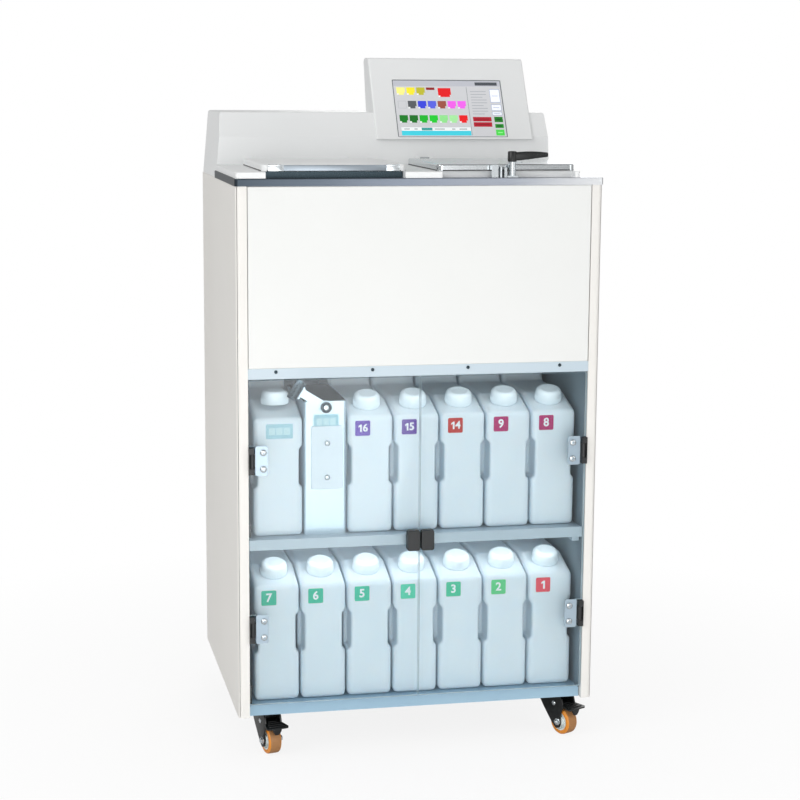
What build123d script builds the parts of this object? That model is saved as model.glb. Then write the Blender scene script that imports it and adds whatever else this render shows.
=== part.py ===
from build123d import *
import os
from math import atan, cos, degrees, radians, sin, sqrt

# Sizes are millimetres. X runs to the right, Y to the rear and Z up from the floor.
# The origin is on the floor, in the middle of the whole machine.

# cabinet
service_depth = 118.0
front_panel_height = 289.0
sheet = 2.0
touch = 0.3
post_width = 18.0
post_return = 25.0
post_round = 8.0
handle_reach = 10.0
spigot_reach = 25.0
chassis_sheet = 3.0
chassis_rear = 40.0
screw_radius = 2.0

# bottle bay
tray_lip = 18.0
tray_floor = 14.0
shelf_clearance = 29.0
shelf_lip = 17.0
shelf_lip_rise = 2.0
lip_setback = 11.0
rail_clearance = 17.0
rail_screw_drop = 5.5
rail_screw_spread = (-237.0, -80.0, 78.0, 233.0)
rail_height = 17.0
rail_depth = 19.0
lining = 1.2

# doors
door_bottom = 21.0
door_top_gap = 2.0
door_setback = 2.0
door_thickness = 6.0
door_gap = 1.0
hinge_low_inset = 128.0
hinge_high_inset = 130.0
hinge_height = 44.0
hinge_axis_in = 5.5
hinge_axis_out = 1.0
hinge_barrel = 4.0
hinge_pin = 2.0
barrel_height = 23.0
leaf_width = 20.0
leaf_height = 48.0
leaf_screw_pitch = 27.0
leaf_screw = 2.0
handle_width = 21.5
handle_height = 34.0
handle_drop = 5.0

# bottles
bottle_width = 76.0
bottle_gap = 2.0
bottle_count = 7
row_clearance = 18.0
bottle_front = 40.0
bottle_depth = 300.0
bottle_height = 250.0
bottle_shoulder = 196.0
bottle_saddle = 217.0
bottle_wall = 2.0
grip_low = 82.0
grip_high = 148.0
grip_depth = 10.0
grip_length = 110.0
row_middle = 3.0
condensate_extra = 6.0
coupling_reach = 12.0
neck_radius = 18.0
neck_bore = 15.0
neck_height = 18.0
cap_radius = 23.0
cap_height = 22.0
cap_back = 40.0

# carbon filter
filter_width = 70.0
filter_drop = 28.0
filter_depth = 180.0
filter_front = 44.0
filter_plate_width = 52.0
filter_plate_height = 105.0
filter_plate_drop = 32.0
filter_screw_low = 20.0
filter_screw_high = 77.0
filter_pivot_drop = 9.0
filter_lever_gap = 4.5
filter_pivot_radius = 5.0
filter_arm_length = 51.0
filter_arm_angle = 148.0
filter_grip_radius = 8.0
filter_grip_length = 34.0

# worktop, surround and lids
rim_height = 12.0
rim_overhang = 1.0
worktop_depth = 272.0
surround_height = 10.0
surround_inset = 1.0
surround_end = 5.0
lid_thickness = 10.7
lid_wall = 3.0
lid_front = 18.0
lid_rear = 248.0
lid_round = 9.0
oven_lid_left = -256.0
oven_lid_right = -24.0
retort_lid_left = 28.0
retort_lid_right = 257.0
lid_axis_back = 258.0
lid_axis_up = 7.2
lid_knuckle = 5.5
lid_pin = 2.5
knuckle_width = 16.0
ear_width = 8.0
hinge_inset = 32.0
grip_recess = 22.0

# retort and paraffin oven
tank_front = 36.0
tank_rear = 238.0
flange = 8.0
retort_width = 196.0
drain_length = 50.0
retort_round = 30.0
drain_radius = 9.0
drain_offset = 30.0
gasket_width = 5.0
oven_width = 206.0
oven_floor_rise = 40.0
oven_wall = 3.0
chamber_round = 12.0

# clamp of the retort lid
clamp_x = 149.0
clamp_back = 9.0
clamp_post = 6.5
clamp_stem = 4.0
clamp_post_rise = 37.0
clamp_sensor_rise = 32.0
clamp_stop_rise = 28.0
clamp_boss_radius = 6.0
clamp_boss_rise = 23.0
claw_length = 16.0
claw_thickness = 2.6
lever_hub = 7.5
lever_height = 17.0
lever_length = 60.0
lever_width = 11.0

# rear and monitor housings
shell = 3.0
fold_rise = 69.0
housing_rise = 110.0
housing_lean = 25.0
housing_left_inset = 1.0
housing_left_taper = 10.0
housing_right_inset = 12.0
housing_right_taper = 5.0
monitor_left = -22.5
monitor_right = 256.0
monitor_rise = 203.0
apron_rise = 65.0
monitor_rear_low = 366.0
monitor_rear_high = 392.0
screen_width = 195.0
screen_height = 114.0
screen_middle = 113.5
screen_rise = 68.5
screen_glass = 3.0
screen_inset = 1.0
module_depth = 16.0

# services
vent_rows = 8
vent_columns = 5
vent_x = 110.0
vent_level = 330.0
vent_length = 18.0
vent_slot = 4.0
fan_size = 80.0
fan_depth = 25.0
fan_x = 60.0
fan_rise = 55.0
fan_bore = 37.0
fan_hub = 14.0
fan_blades = 7
spigot_x = -120.0
spigot_radius = 20.0
spigot_bore = 18.0
spigot_flange = 52.0
inlet_x = -200.0
inlet_level = 150.0
inlet_width = 28.0
inlet_height = 48.0
socket_width = 24.0
socket_height = 15.0
socket_depth = 18.0
rocker_width = 13.0
rocker_height = 20.0
rocker_travel = 16.0
valve_radius = 55.0
valve_rotor_radius = 44.0
valve_rise = 43.0
valve_height = 37.0
valve_shaft = 5.0
motor_radius = 28.0
rear_screw_low = 60.0
rear_screw_top_inset = 26.0
rear_screw_gap = 240.0
pump_width = 110.0
pump_depth = 80.0
pump_height = 70.0
pump_gap = 10.0
head_pitch = 56.0
head_radius = 22.0
head_height = 34.0
fin_radius = 26.0
fin_pitch = 9.0
fin_thickness = 3.0
supply_left = 130.0
supply_width = 120.0
supply_depth = 80.0
supply_height = 150.0
supply_gap = 12.0

# casters
caster_height = 72.0
caster_margin = 1.0
caster_inset = 60.0
caster_trail = 30.0
caster_plate = 62.0
plate_thickness = 3.0
kingpin_radius = 7.0
fork_plate_radius = 21.0
fork_sheet = 3.0
fork_inside = 24.0
wheel_radius = 23.0
wheel_width = 22.0
hub_radius = 16.0
axle_radius = 4.0
pedal_length = 64.0
pedal_width = 42.0
pedal_pivot = 20.0
pedal_sheet = 2.5
rest_turns = {"front_left": 13.0, "front_right": 26.0, "rear_left": 158.0, "rear_right": 195.0}

# running clearance of a pin or shaft in its hole
running = 0.05

# places that follow from the sizes above
bottle_pitch = bottle_width + bottle_gap
condensate_width = bottle_width + condensate_extra
bay_depth = bottle_front + bottle_depth + coupling_reach
cabinet_width = bottle_count * bottle_pitch + row_clearance + 2 * post_width
cabinet_depth = bay_depth + service_depth
shelf_top = tray_floor + bottle_height + shelf_clearance
rail_bottom = shelf_top + bottle_height + rail_clearance
filter_height = bottle_height - filter_drop
filter_pivot_up = filter_height - filter_pivot_drop
filter_plate_high = filter_pivot_up - filter_plate_drop
filter_plate_low = filter_plate_high - filter_plate_height
door_top = rail_bottom - door_top_gap
hinge_low = door_bottom + hinge_low_inset
hinge_high = door_top - hinge_high_inset
handle_level = shelf_top - handle_drop
cabinet_height = rail_bottom + rail_height + front_panel_height
clamp_post_top = cabinet_height + clamp_post_rise
clamp_boss_top = cabinet_height + clamp_boss_rise
housing_fold = cabinet_height + fold_rise
housing_top = cabinet_height + housing_rise
monitor_top = cabinet_height + monitor_rise
monitor_apron = cabinet_height + apron_rise
screen_low = cabinet_height + screen_rise
fan_level = cabinet_height + fan_rise
valve_low = rail_bottom + valve_rise
valve_high = valve_low + valve_height
retort_floor = valve_high + drain_length
oven_floor = retort_floor + oven_floor_rise
half = cabinet_width / 2
inner = half - post_width
surround_left = half - surround_inset
surround_right = retort_lid_right + surround_end
housing_left_low = half - housing_left_inset
housing_left_high = housing_left_low - housing_left_taper
housing_right_low = half - housing_right_inset
housing_right_high = housing_right_low - housing_right_taper
caster_x = inner - caster_margin - caster_plate / 2
overall_depth = handle_reach + cabinet_depth + spigot_reach
front = handle_reach - overall_depth / 2
rear = front + cabinet_depth
base = caster_height
lean = housing_lean / (housing_top - housing_fold)
lean_angle = degrees(atan(lean))
tray_z = base + tray_floor
shelf_z = base + shelf_top
chassis_z = base + chassis_sheet
rear_inside = rear - sheet
rail_z = base + rail_bottom
ceiling_z = rail_z + rail_height
top_z = base + cabinet_height
work_z = top_z + rim_height
surround_z = work_z + surround_height
lid_z = surround_z + touch
housing_front = front + worktop_depth
bay_back = front + bay_depth
monitor_proud = screen_inset + screen_glass

nodes = {}


def keep(name, *solids):
    """put solids in the named sub-part"""
    nodes.setdefault(name, []).extend(solids)


def block(x0, x1, y0, y1, z0, z1):
    """box between two corners"""
    centre = Pos((x0 + x1) / 2, (y0 + y1) / 2, (z0 + z1) / 2)
    return centre * Box(abs(x1 - x0), abs(y1 - y0), abs(z1 - z0))


def rod(x, y, z, radius, length, axis="Z"):
    """cylinder that starts at a point and runs along an axis"""
    turn = {"X": Rot(0, 90, 0), "Y": Rot(-90, 0, 0), "Z": Rot(0, 0, 0)}[axis]
    ends = (Align.CENTER, Align.CENTER, Align.MIN)
    return Pos(x, y, z) * turn * Cylinder(radius, length, align=ends)


def tube(x, y, z, outer, bore, length, axis="Z"):
    """hollow cylinder that starts at a point"""
    return rod(x, y, z, outer, length, axis) - rod(x, y, z, bore, length, axis)


def side_profile(points, x0, x1):
    """outline in Y and Z, drawn along X"""
    outline = Plane.YZ.offset(x0) * make_face(Polyline(*points, close=True))
    return extrude(outline, amount=x1 - x0)


def front_profile(points, y0, y1):
    """outline in X and Z, drawn along Y"""
    outline = Plane.XZ.offset(-y0) * make_face(Polyline(*points, close=True))
    return extrude(outline, amount=y0 - y1)


def pan(x_middle, y_middle, width, depth, corner, z0, z1):
    """upright block with round corners"""
    outline = Plane.XY.offset(z0) * Pos(x_middle, y_middle) * RectangleRounded(width, depth, corner)
    return extrude(outline, amount=z1 - z0)


def mirrored(solid):
    """the same solid on the other side of the machine"""
    return mirror(solid, about=Plane.YZ)


def make_side_panels():
    """folded side panels: outer skin, front post with its return, rear return"""
    panel = block(-half, -inner, front, rear_inside, base, top_z)
    uprights = panel.edges().filter_by(Axis.Z).group_by(Axis.X)[0]
    panel = fillet(uprights.sort_by(Axis.Y)[0], post_round)
    skin_inside = -half + sheet
    panel -= block(skin_inside, -inner - sheet, front + sheet, rear_inside - sheet, base + sheet, top_z + 1)
    window = sheet + post_return
    panel -= block(skin_inside, -inner + 1, front + window, rear_inside - window, base + sheet, top_z + 1)
    for x, z in rear_screw_places():
        if x < 0:
            panel -= rod(x, rear_inside - sheet, z, screw_radius + running, sheet, "Y")
    keep("left_side_panel", panel)
    keep("right_side_panel", mirrored(panel))


def make_base_chassis():
    """floor plate with side and rear flanges, between the side panels"""
    start = front + lip_setback + sheet
    plate = block(-inner, inner, start, rear_inside, base, chassis_z)
    for side in (-1, 1):
        plate += block(side * inner, side * (inner - chassis_sheet), start, rear_inside, base, tray_z - sheet)
    plate += block(-inner, inner, rear_inside - chassis_sheet, rear_inside, base, base + chassis_rear)
    keep("base_chassis", plate)


def make_rear_panel():
    """flat rear panel with the holes for the mains inlet, the switch and the air"""
    panel = block(-half, half, rear_inside, rear, base, top_z)
    level = base + inlet_level
    panel -= block(inlet_x - inlet_width / 2, inlet_x + inlet_width / 2, rear_inside, rear,
                   level - inlet_height / 2, level + inlet_height / 2)
    for x, z in rear_screw_places():
        panel -= rod(x, rear_inside, z, screw_radius + running, sheet, "Y")
    for row in range(vent_rows):
        for column in range(vent_columns):
            x = vent_x + column * 1.4 * vent_length
            z = base + vent_level + row * 3 * vent_slot
            panel -= block(x, x + vent_length, rear_inside, rear, z, z + vent_slot)
    keep("rear_panel", panel)


def rear_screw_places():
    """middle of each screw of the rear panel"""
    x = half - post_width / 2
    levels = [rear_screw_low + step * rear_screw_gap for step in range(3)]
    levels.append(cabinet_height - rear_screw_top_inset)
    return [(side * x, base + level) for side in (-1, 1) for level in levels]


def rail_screw_places():
    """middle of each screw of the rail above the doors"""
    return [(x, rail_z + rail_height - rail_screw_drop) for x in rail_screw_spread]


def make_cabinet_screws():
    """screws of the rear panel and of the rail above the doors"""
    for x, z in rear_screw_places():
        shank = rod(x, rear_inside - 2 * sheet, z, screw_radius, 3 * sheet, "Y")
        keep("cabinet_screws", shank + rod(x, rear, z, 2 * screw_radius, 2.2, "Y"))
    for x, z in rail_screw_places():
        shank = rod(x, front + 1, z, screw_radius, 3 * sheet, "Y")
        keep("cabinet_screws", shank + rod(x, front - 0.4, z, 1.7 * screw_radius, 1.4, "Y"))


def make_front_panel():
    """upper front panel, a shallow tray of sheet"""
    side = inner - door_gap
    panel = block(-side, side, front, front + post_width, ceiling_z, top_z)
    panel = fillet(panel.edges().group_by(Axis.Y)[0], 1.5)
    panel -= block(-side + sheet, side - sheet, front + sheet, front + post_width + 1,
                   ceiling_z + sheet, top_z - sheet)
    keep("front_panel", panel)


def make_top_rail():
    """pale rail above the doors, between the side panels"""
    rail = block(-inner, inner, front + 1, front + 1 + rail_depth, rail_z, ceiling_z)
    rail -= block(-inner, inner, front + 1 + sheet, front + 2 + rail_depth, rail_z + sheet, ceiling_z - sheet)
    for x, z in rail_screw_places():
        rail -= rod(x, front + 1, z, screw_radius + running, sheet, "Y")
    keep("bay_top_rail", rail)


def make_bay_liner():
    """dark lining of the bottle bay: two side walls, a rear wall and a ceiling"""
    low = tray_z
    wall_front = front + lip_setback + sheet + 1
    for side in (-1, 1):
        keep("bay_liner", block(side * inner, side * (inner - lining), wall_front, bay_back, low, rail_z))
    keep("bay_liner", block(chassis_sheet - inner, inner - chassis_sheet, bay_back, bay_back + lining,
                            chassis_z, rail_z))
    keep("bay_liner", block(-inner, inner, front + 1 + rail_depth, rear_inside, rail_z, rail_z + lining))


def make_bottom_tray():
    """folded tray under the lower bottles, with a lip in front"""
    side = inner - lining
    lip_y = front + lip_setback
    tray = block(-side, side, lip_y, bay_back, tray_z - sheet, tray_z)
    lip = block(-side, side, lip_y, lip_y + sheet, base, base + tray_lip)
    tray += fillet(lip.edges().filter_by(Axis.Y).group_by(Axis.Z)[-1], 5)
    rear_leg = inner - chassis_sheet
    tray += block(-rear_leg, rear_leg, bay_back - sheet, bay_back, chassis_z, tray_z)
    keep("bottom_tray", tray)


def make_middle_shelf():
    """folded shelf under the upper bottles, with a lip in front and flanges on the lining"""
    side = inner - lining
    lip_y = front + lip_setback
    lip_top = shelf_z + shelf_lip_rise
    shelf = block(-side, side, lip_y, bay_back, shelf_z - sheet, shelf_z)
    shelf += block(-side, side, lip_y, lip_y + sheet, lip_top - shelf_lip, lip_top)
    shelf += block(-side, side, lip_y, lip_y + 8, lip_top - shelf_lip, lip_top - shelf_lip + sheet)
    for x in (-side, side - sheet):
        shelf += block(x, x + sheet, lip_y + sheet, bay_back, shelf_z - 15, shelf_z)
    bracket = block(side - sheet - 12, side - sheet, lip_y + 10, lip_y + 30, shelf_z - 24, shelf_z - sheet)
    keep("middle_shelf", shelf + bracket)


def bottle_form(width, inset):
    """outline of a bottle, all of it moved in by the inset"""
    y = front + bottle_front
    slope_run = 71.0
    saddle_back = 195.0
    rise_run = 12.0
    outline = [(y + inset, inset), (y + inset, bottle_shoulder - inset),
               (y + slope_run, bottle_saddle - inset), (y + saddle_back + inset, bottle_saddle - inset),
               (y + saddle_back + rise_run + inset, bottle_height - inset),
               (y + bottle_depth - inset, bottle_height - inset), (y + bottle_depth - inset, inset)]
    form = side_profile(outline, -width / 2 + inset, width / 2 - inset)
    if inset == 0:
        uprights = form.edges().filter_by(Axis.Z)
        form = fillet(uprights.group_by(Axis.Y)[0] + uprights.group_by(Axis.Y)[-1], 9)
        form = fillet(form.edges().group_by(Axis.Z)[0], 5)
    for side in (-1, 1):
        form -= block(side * (width / 2 - grip_depth - inset), side * width, y - 1,
                      y + grip_length + inset, grip_low - inset, grip_high + inset)
    return form


def cap_frame(tilt):
    """place of the neck on a bottle that stands at x 0 on the floor, tipped forward by the tilt"""
    slope = (bottle_saddle - bottle_shoulder) / 71.0
    return Pos(0, front + bottle_front + cap_back, bottle_shoulder + cap_back * slope) * Rot(tilt, 0, 0)


def bottle_tilt():
    """angle of the sloping shoulder"""
    return degrees(atan((bottle_saddle - bottle_shoulder) / 71.0))


def bottle_body(width, tilt):
    """hollow bottle with an open neck"""
    ends = (Align.CENTER, Align.CENTER, Align.MIN)
    frame = cap_frame(tilt)
    body = bottle_form(width, 0) + frame * Pos(0, 0, -8) * Cylinder(neck_radius, neck_height + 8, align=ends)
    body -= bottle_form(width, bottle_wall)
    return body - frame * Pos(0, 0, -12) * Cylinder(neck_bore, neck_height + 20, align=ends)


def screw_cap(tilt):
    """cap that covers the neck"""
    ends = (Align.CENTER, Align.CENTER, Align.MIN)
    lift = cap_radius * abs(sin(radians(tilt - bottle_tilt()))) + touch
    cap = Pos(0, 0, lift) * Cylinder(cap_radius, cap_height, align=ends)
    cap = fillet(cap.edges().group_by(Axis.Z)[-1], 4)
    cap -= Cylinder(neck_radius + touch, neck_height + touch, align=ends)
    return cap_frame(tilt) * cap


def bottle_x(place):
    """middle of a bottle, counted from the left"""
    return row_middle + (place - 3) * bottle_pitch


def make_bottles():
    """seven bottles below, five above beside the condensate bottle, with their caps"""
    tilt = bottle_tilt()
    body = bottle_body(bottle_width, tilt)
    cap = screw_cap(tilt)
    for place in range(7):
        where = Pos(bottle_x(place), 0, tray_z)
        keep("lower_bottles", where * body)
        keep("bottle_caps", where * cap)
    for place in range(2, 7):
        where = Pos(bottle_x(place), 0, shelf_z)
        keep("upper_bottles", where * body)
        keep("bottle_caps", where * cap)
    where = Pos(bottle_x(0) + row_middle, 0, shelf_z)
    keep("condensate_bottle", where * bottle_body(condensate_width, 0))
    keep("bottle_caps", where * screw_cap(0))


def make_bottle_couplings():
    """quick coupling behind each bottle, on the rear wall of the bay"""
    start = front + bottle_front + bottle_depth
    for place in range(7):
        for level in (tray_z, shelf_z):
            if level == shelf_z and place == 1:
                continue
            x = bottle_x(place)
            keep("bottle_couplings", rod(x, start, level + 40, 8, bay_back - start, "Y"))


def make_carbon_filter():
    """filter box in the upper row, its white plate and the lever that locks it"""
    x = bottle_x(1) + row_middle
    y = front + filter_front
    box = block(x - filter_width / 2, x + filter_width / 2, y, y + filter_depth, shelf_z, shelf_z + filter_height)
    box = fillet(box.edges().filter_by(Axis.Z), 4)
    hollow = block(x - filter_width / 2 + sheet, x + filter_width / 2 - sheet, y + sheet,
                   y + filter_depth - sheet, shelf_z + sheet, shelf_z + filter_height - sheet)
    pivot_z = shelf_z + filter_pivot_up
    stud = rod(x, y - 9, pivot_z, filter_pivot_radius, 9, "Y")
    keep("carbon_filter_box", box - hollow + stud)
    plate_x = x + 3
    plate = block(plate_x - filter_plate_width / 2, plate_x + filter_plate_width / 2, y - 3, y,
                  shelf_z + filter_plate_low, shelf_z + filter_plate_high)
    plate = fillet(plate.edges().filter_by(Axis.Y), 3)
    screws = [rod(plate_x, y - 5, shelf_z + filter_plate_low + up, 4, 2, "Y")
              for up in (filter_screw_low, filter_screw_high)]
    keep("filter_front_plate", plate, *screws)
    keep("filter_lever", filter_lever(x, y, pivot_z))


def filter_lever(x, y, z):
    """lever on its stud: ring, arm, bent flange and round grip"""
    arm = block(0, filter_arm_length, -2.5, 0, -7, 7) + rod(0, -4, 0, 11, 4, "Y")
    arm += block(filter_arm_length - 3, filter_arm_length, -2 * filter_grip_radius, 0, -10.5, 10.5)
    arm += rod(filter_arm_length + filter_grip_radius - 1, -filter_grip_radius, -filter_grip_length / 2,
               filter_grip_radius, filter_grip_length)
    arm -= rod(0, -5, 0, filter_pivot_radius + running, 6, "Y")
    return Pos(x, y - filter_lever_gap, z) * Rot(0, -filter_arm_angle, 0) * arm


def make_worktop():
    """steel worktop: a tray turned upside down, with the openings of the two tanks"""
    edge = half + rim_overhang
    top = block(-edge, edge, front - rim_overhang, housing_front, top_z, work_z)
    top = fillet(top.edges().filter_by(Axis.Z).group_by(Axis.Y)[0], 6)
    top = fillet(top.edges().group_by(Axis.Z)[-1].group_by(Axis.Y)[0], 1.5)
    top -= block(-edge + sheet, edge - sheet, front - rim_overhang + sheet, housing_front - sheet,
                 top_z - 1, work_z - sheet)
    middle = front + (tank_front + tank_rear) / 2
    depth = tank_rear - tank_front
    top -= pan(oven_middle(), middle, oven_width + 2, depth + 2, chamber_round, top_z, work_z)
    top -= pan(retort_middle(), middle, retort_width + 2, depth + 2, retort_round, top_z, work_z)
    keep("worktop", top)


def oven_middle():
    """middle of the paraffin oven under its lid"""
    return (oven_lid_left + oven_lid_right) / 2


def retort_middle():
    """middle of the retort under its lid"""
    return (retort_lid_left + retort_lid_right) / 2


def make_surround():
    """white surround on the worktop, cut away round the tanks and under the front of each lid"""
    body = block(-surround_left, surround_right, front + rim_overhang, housing_front, work_z, surround_z)
    body = fillet(body.edges().filter_by(Axis.Z).group_by(Axis.Y)[0], 6)
    body = fillet(body.edges().group_by(Axis.Z)[-1].group_by(Axis.Y)[0], 1.5)
    middle = front + (tank_front + tank_rear) / 2
    depth = tank_rear - tank_front + 2 * flange + 2
    for x, width in ((oven_middle(), oven_width), (retort_middle(), retort_width)):
        body -= pan(x, middle, width + 2 * flange + 2, depth, chamber_round, work_z, surround_z)
    for left, right in ((oven_lid_left, oven_lid_right), (retort_lid_left, retort_lid_right)):
        body -= block(left + 4, right - 4, front, front + grip_recess, work_z, surround_z)
    keep("worktop_surround", body)


def make_tanks():
    """paraffin oven with four chambers, and the retort with its drain and gasket"""
    middle = front + (tank_front + tank_rear) / 2
    depth = tank_rear - tank_front
    rim_z = work_z + sheet
    oven = pan(oven_middle(), middle, oven_width, depth, chamber_round, base + oven_floor, rim_z)
    oven += pan(oven_middle(), middle, oven_width + 2 * flange, depth + 2 * flange, chamber_round, work_z, rim_z)
    chamber_width = (oven_width - 3 * oven_wall) / 2
    chamber_depth = (depth - 3 * oven_wall) / 2
    for x_side in (-1, 1):
        for y_side in (-1, 1):
            x = oven_middle() + x_side * (chamber_width + oven_wall) / 2
            y = middle + y_side * (chamber_depth + oven_wall) / 2
            oven -= block(x - chamber_width / 2, x + chamber_width / 2, y - chamber_depth / 2, y + chamber_depth / 2,
                          base + oven_floor + oven_wall, rim_z)
    keep("paraffin_oven", oven)
    x = retort_middle()
    floor_z = base + retort_floor
    retort = pan(x, middle, retort_width, depth, retort_round, floor_z, rim_z)
    retort += pan(x, middle, retort_width + 2 * flange, depth + 2 * flange, retort_round + flange, work_z, rim_z)
    retort += rod(x + drain_offset, middle, base + valve_high, drain_radius + sheet, floor_z - base - valve_high)
    retort -= pan(x, middle, retort_width - 2 * sheet, depth - 2 * sheet, retort_round - sheet,
                  floor_z + sheet, rim_z)
    retort -= rod(x + drain_offset, middle, base + valve_high, drain_radius, floor_z - base - valve_high + sheet)
    keep("retort_vessel", retort)
    outer = pan(x, middle, retort_width + 2 * flange - 4, depth + 2 * flange - 4, retort_round + flange - 2,
                rim_z, surround_z)
    hole = pan(x, middle, retort_width + 2 * flange - 4 - 2 * gasket_width,
               depth + 2 * flange - 4 - 2 * gasket_width, retort_round + flange - 2 - gasket_width,
               rim_z, surround_z)
    keep("retort_gasket", outer - hole)


def lid_hinge_places(left, right):
    """middle of the two hinges of a lid"""
    return (left + hinge_inset, right - hinge_inset)


def make_lid(name, left, right):
    """hollow lid with a knuckle at each hinge and a ring that meets the tank below"""
    y0 = front + lid_front
    y1 = front + lid_rear
    lid = block(left, right, y0, y1, lid_z, lid_z + lid_thickness)
    lid = fillet(lid.edges().filter_by(Axis.Z), lid_round)
    lid = fillet(lid.edges().group_by(Axis.Z)[-1], 2.5)
    cavity = block(left + lid_wall, right - lid_wall, y0 + lid_wall, y1 - lid_wall,
                   lid_z, lid_z + lid_thickness - lid_wall)
    lid -= fillet(cavity.edges().filter_by(Axis.Z), lid_round - lid_wall)
    middle = front + (tank_front + tank_rear) / 2
    ring_width = (retort_width if name == "retort_lid" else oven_width) + 2 * flange - 4
    ring_depth = tank_rear - tank_front + 2 * flange - 4
    seat = pan((left + right) / 2, middle, ring_width, ring_depth, retort_round, lid_z, lid_z + lid_thickness - 2)
    seat -= pan((left + right) / 2, middle, ring_width - 2 * flange, ring_depth - 2 * flange,
                retort_round - flange, lid_z, lid_z + lid_thickness - 2)
    lid += seat
    axis_y = front + lid_axis_back
    axis_z = lid_z + lid_axis_up - touch
    for x in lid_hinge_places(left, right):
        start = x - knuckle_width / 2
        lid += rod(start, axis_y, axis_z, lid_knuckle, knuckle_width, "X")
        lid += block(start, start + knuckle_width, y1 - lid_wall, axis_y, axis_z - 3, axis_z + 3)
        lid -= rod(start, axis_y, axis_z, lid_pin + running, knuckle_width, "X")
    keep(name, lid)


def make_lid_hinges():
    """fixed half of each lid hinge: foot, two ears and the pin"""
    axis_y = front + lid_axis_back
    axis_z = lid_z + lid_axis_up - touch
    gap = 0.5
    for left, right in ((oven_lid_left, oven_lid_right), (retort_lid_left, retort_lid_right)):
        for x in lid_hinge_places(left, right):
            reach = knuckle_width / 2 + gap + ear_width
            body = block(x - reach, x + reach, axis_y - 5, housing_front, surround_z, surround_z + 1.2)
            for start in (x - reach, x + reach - ear_width):
                body += rod(start, axis_y, axis_z, lid_knuckle, ear_width, "X")
                body += block(start, start + ear_width, axis_y - 4.5, axis_y + lid_knuckle, surround_z, axis_z)
            body -= rod(x - reach, axis_y, axis_z, lid_pin, 2 * reach, "X")
            keep("lid_hinges", body, rod(x - reach, axis_y, axis_z, lid_pin, 2 * reach, "X"))


def make_clamp():
    """bracket, spindle with its claw, and the black lever, in front of the retort lid"""
    x = clamp_x
    y = front + clamp_back
    boss_top = base + clamp_boss_top
    post_top = base + clamp_post_top
    boss = rod(x, y, work_z, clamp_boss_radius, boss_top - work_z)
    boss += block(x - 9, x + 9, y - 6, y + 6, work_z, work_z + 3)
    boss -= rod(x, y, work_z, clamp_stem + running, boss_top - work_z)
    sensor = block(x - 35, x - 24, y - 5, y + 6, work_z, top_z + clamp_sensor_rise)
    pins = [rod(x - 19, y + dy, work_z, 2.5, 17) for dy in (-2, 4)]
    stop = block(x - 14, x - 9.5, y - 5, y + 6, work_z, top_z + clamp_stop_rise)
    keep("clamp_bracket", boss, sensor, stop, *pins)
    spindle = rod(x, y, work_z, clamp_stem, boss_top - work_z + touch)
    spindle += rod(x, y, boss_top + touch, clamp_post, post_top - boss_top - touch)
    claw = block(x, x + claw_length, y - 5, y + 5, post_top - claw_thickness, post_top)
    spindle += fillet(claw.edges().filter_by(Axis.Z).group_by(Axis.X)[-1], 4)
    keep("clamp_spindle", spindle)
    hub = rod(x, y, post_top, lever_hub, lever_height)
    arm = front_profile([(x, post_top + 3), (x, post_top + lever_height - 2), (x + 20, post_top + 15.5),
                         (x + lever_length, post_top + 13.5), (x + lever_length, post_top + 8),
                         (x + 20, post_top + 5.5)], y - lever_width / 2, y + lever_width / 2)
    tips = arm.edges().filter_by(Axis.Z).group_by(Axis.X)[-1]
    keep("clamp_lever", hub + fillet(tips, 3))


def lean_y(z, depth):
    """place of the leaning face at a height, moved in by a depth"""
    return housing_front + (z - base - housing_fold) * lean + depth * sqrt(1 + lean * lean)


def housing_form(inset, floor):
    """body of the rear housing, all of it moved in by the inset"""
    top = base + housing_top - inset
    fold = base + housing_fold
    drop = inset * (sqrt(1 + lean * lean) - 1) / lean
    outline = [(housing_front + inset, floor), (housing_front + inset, fold - drop),
               (lean_y(top, inset), top), (rear - inset, top), (rear - inset, floor)]
    body = side_profile(outline, -half - 10, half + 10)
    rise = top_z + housing_top - cabinet_height
    walls = [(-housing_left_low + inset, top_z - 1), (-housing_left_high + inset, rise),
             (housing_right_high - inset, rise), (housing_right_low - inset, top_z - 1)]
    return body & front_profile(walls, housing_front - 5, rear + 5)


def make_rear_housing():
    """white housing behind the worktop, with windows for the screen, the fan and the spigot"""
    housing = housing_form(0, top_z)
    housing = fillet(housing.edges().group_by(Axis.Z)[-1], 4)
    housing -= housing_form(shell, top_z - 1)
    housing -= screen_window(8, -30, 10)
    level = base + fan_level
    housing -= rod(fan_x, rear - shell, level, fan_bore, shell, "Y")
    housing -= rod(spigot_x, rear - shell, level, spigot_bore, shell, "Y")
    keep("rear_housing", housing)


def screen_plane():
    """plane of the leaning face, in the middle of the screen"""
    rise = screen_height / 2 * cos(radians(lean_angle))
    z = base + screen_low + rise
    tip = radians(lean_angle)
    return Plane(origin=(screen_middle, lean_y(z, -monitor_proud), z), x_dir=(1, 0, 0),
                 z_dir=(0, -cos(tip), sin(tip)))


def screen_window(border, deep, high):
    """block through the leaning face, smaller than the glass by the border"""
    outline = RectangleRounded(screen_width - border, screen_height - border, 2)
    return extrude(screen_plane().offset(deep) * outline, amount=high - deep)


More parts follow.
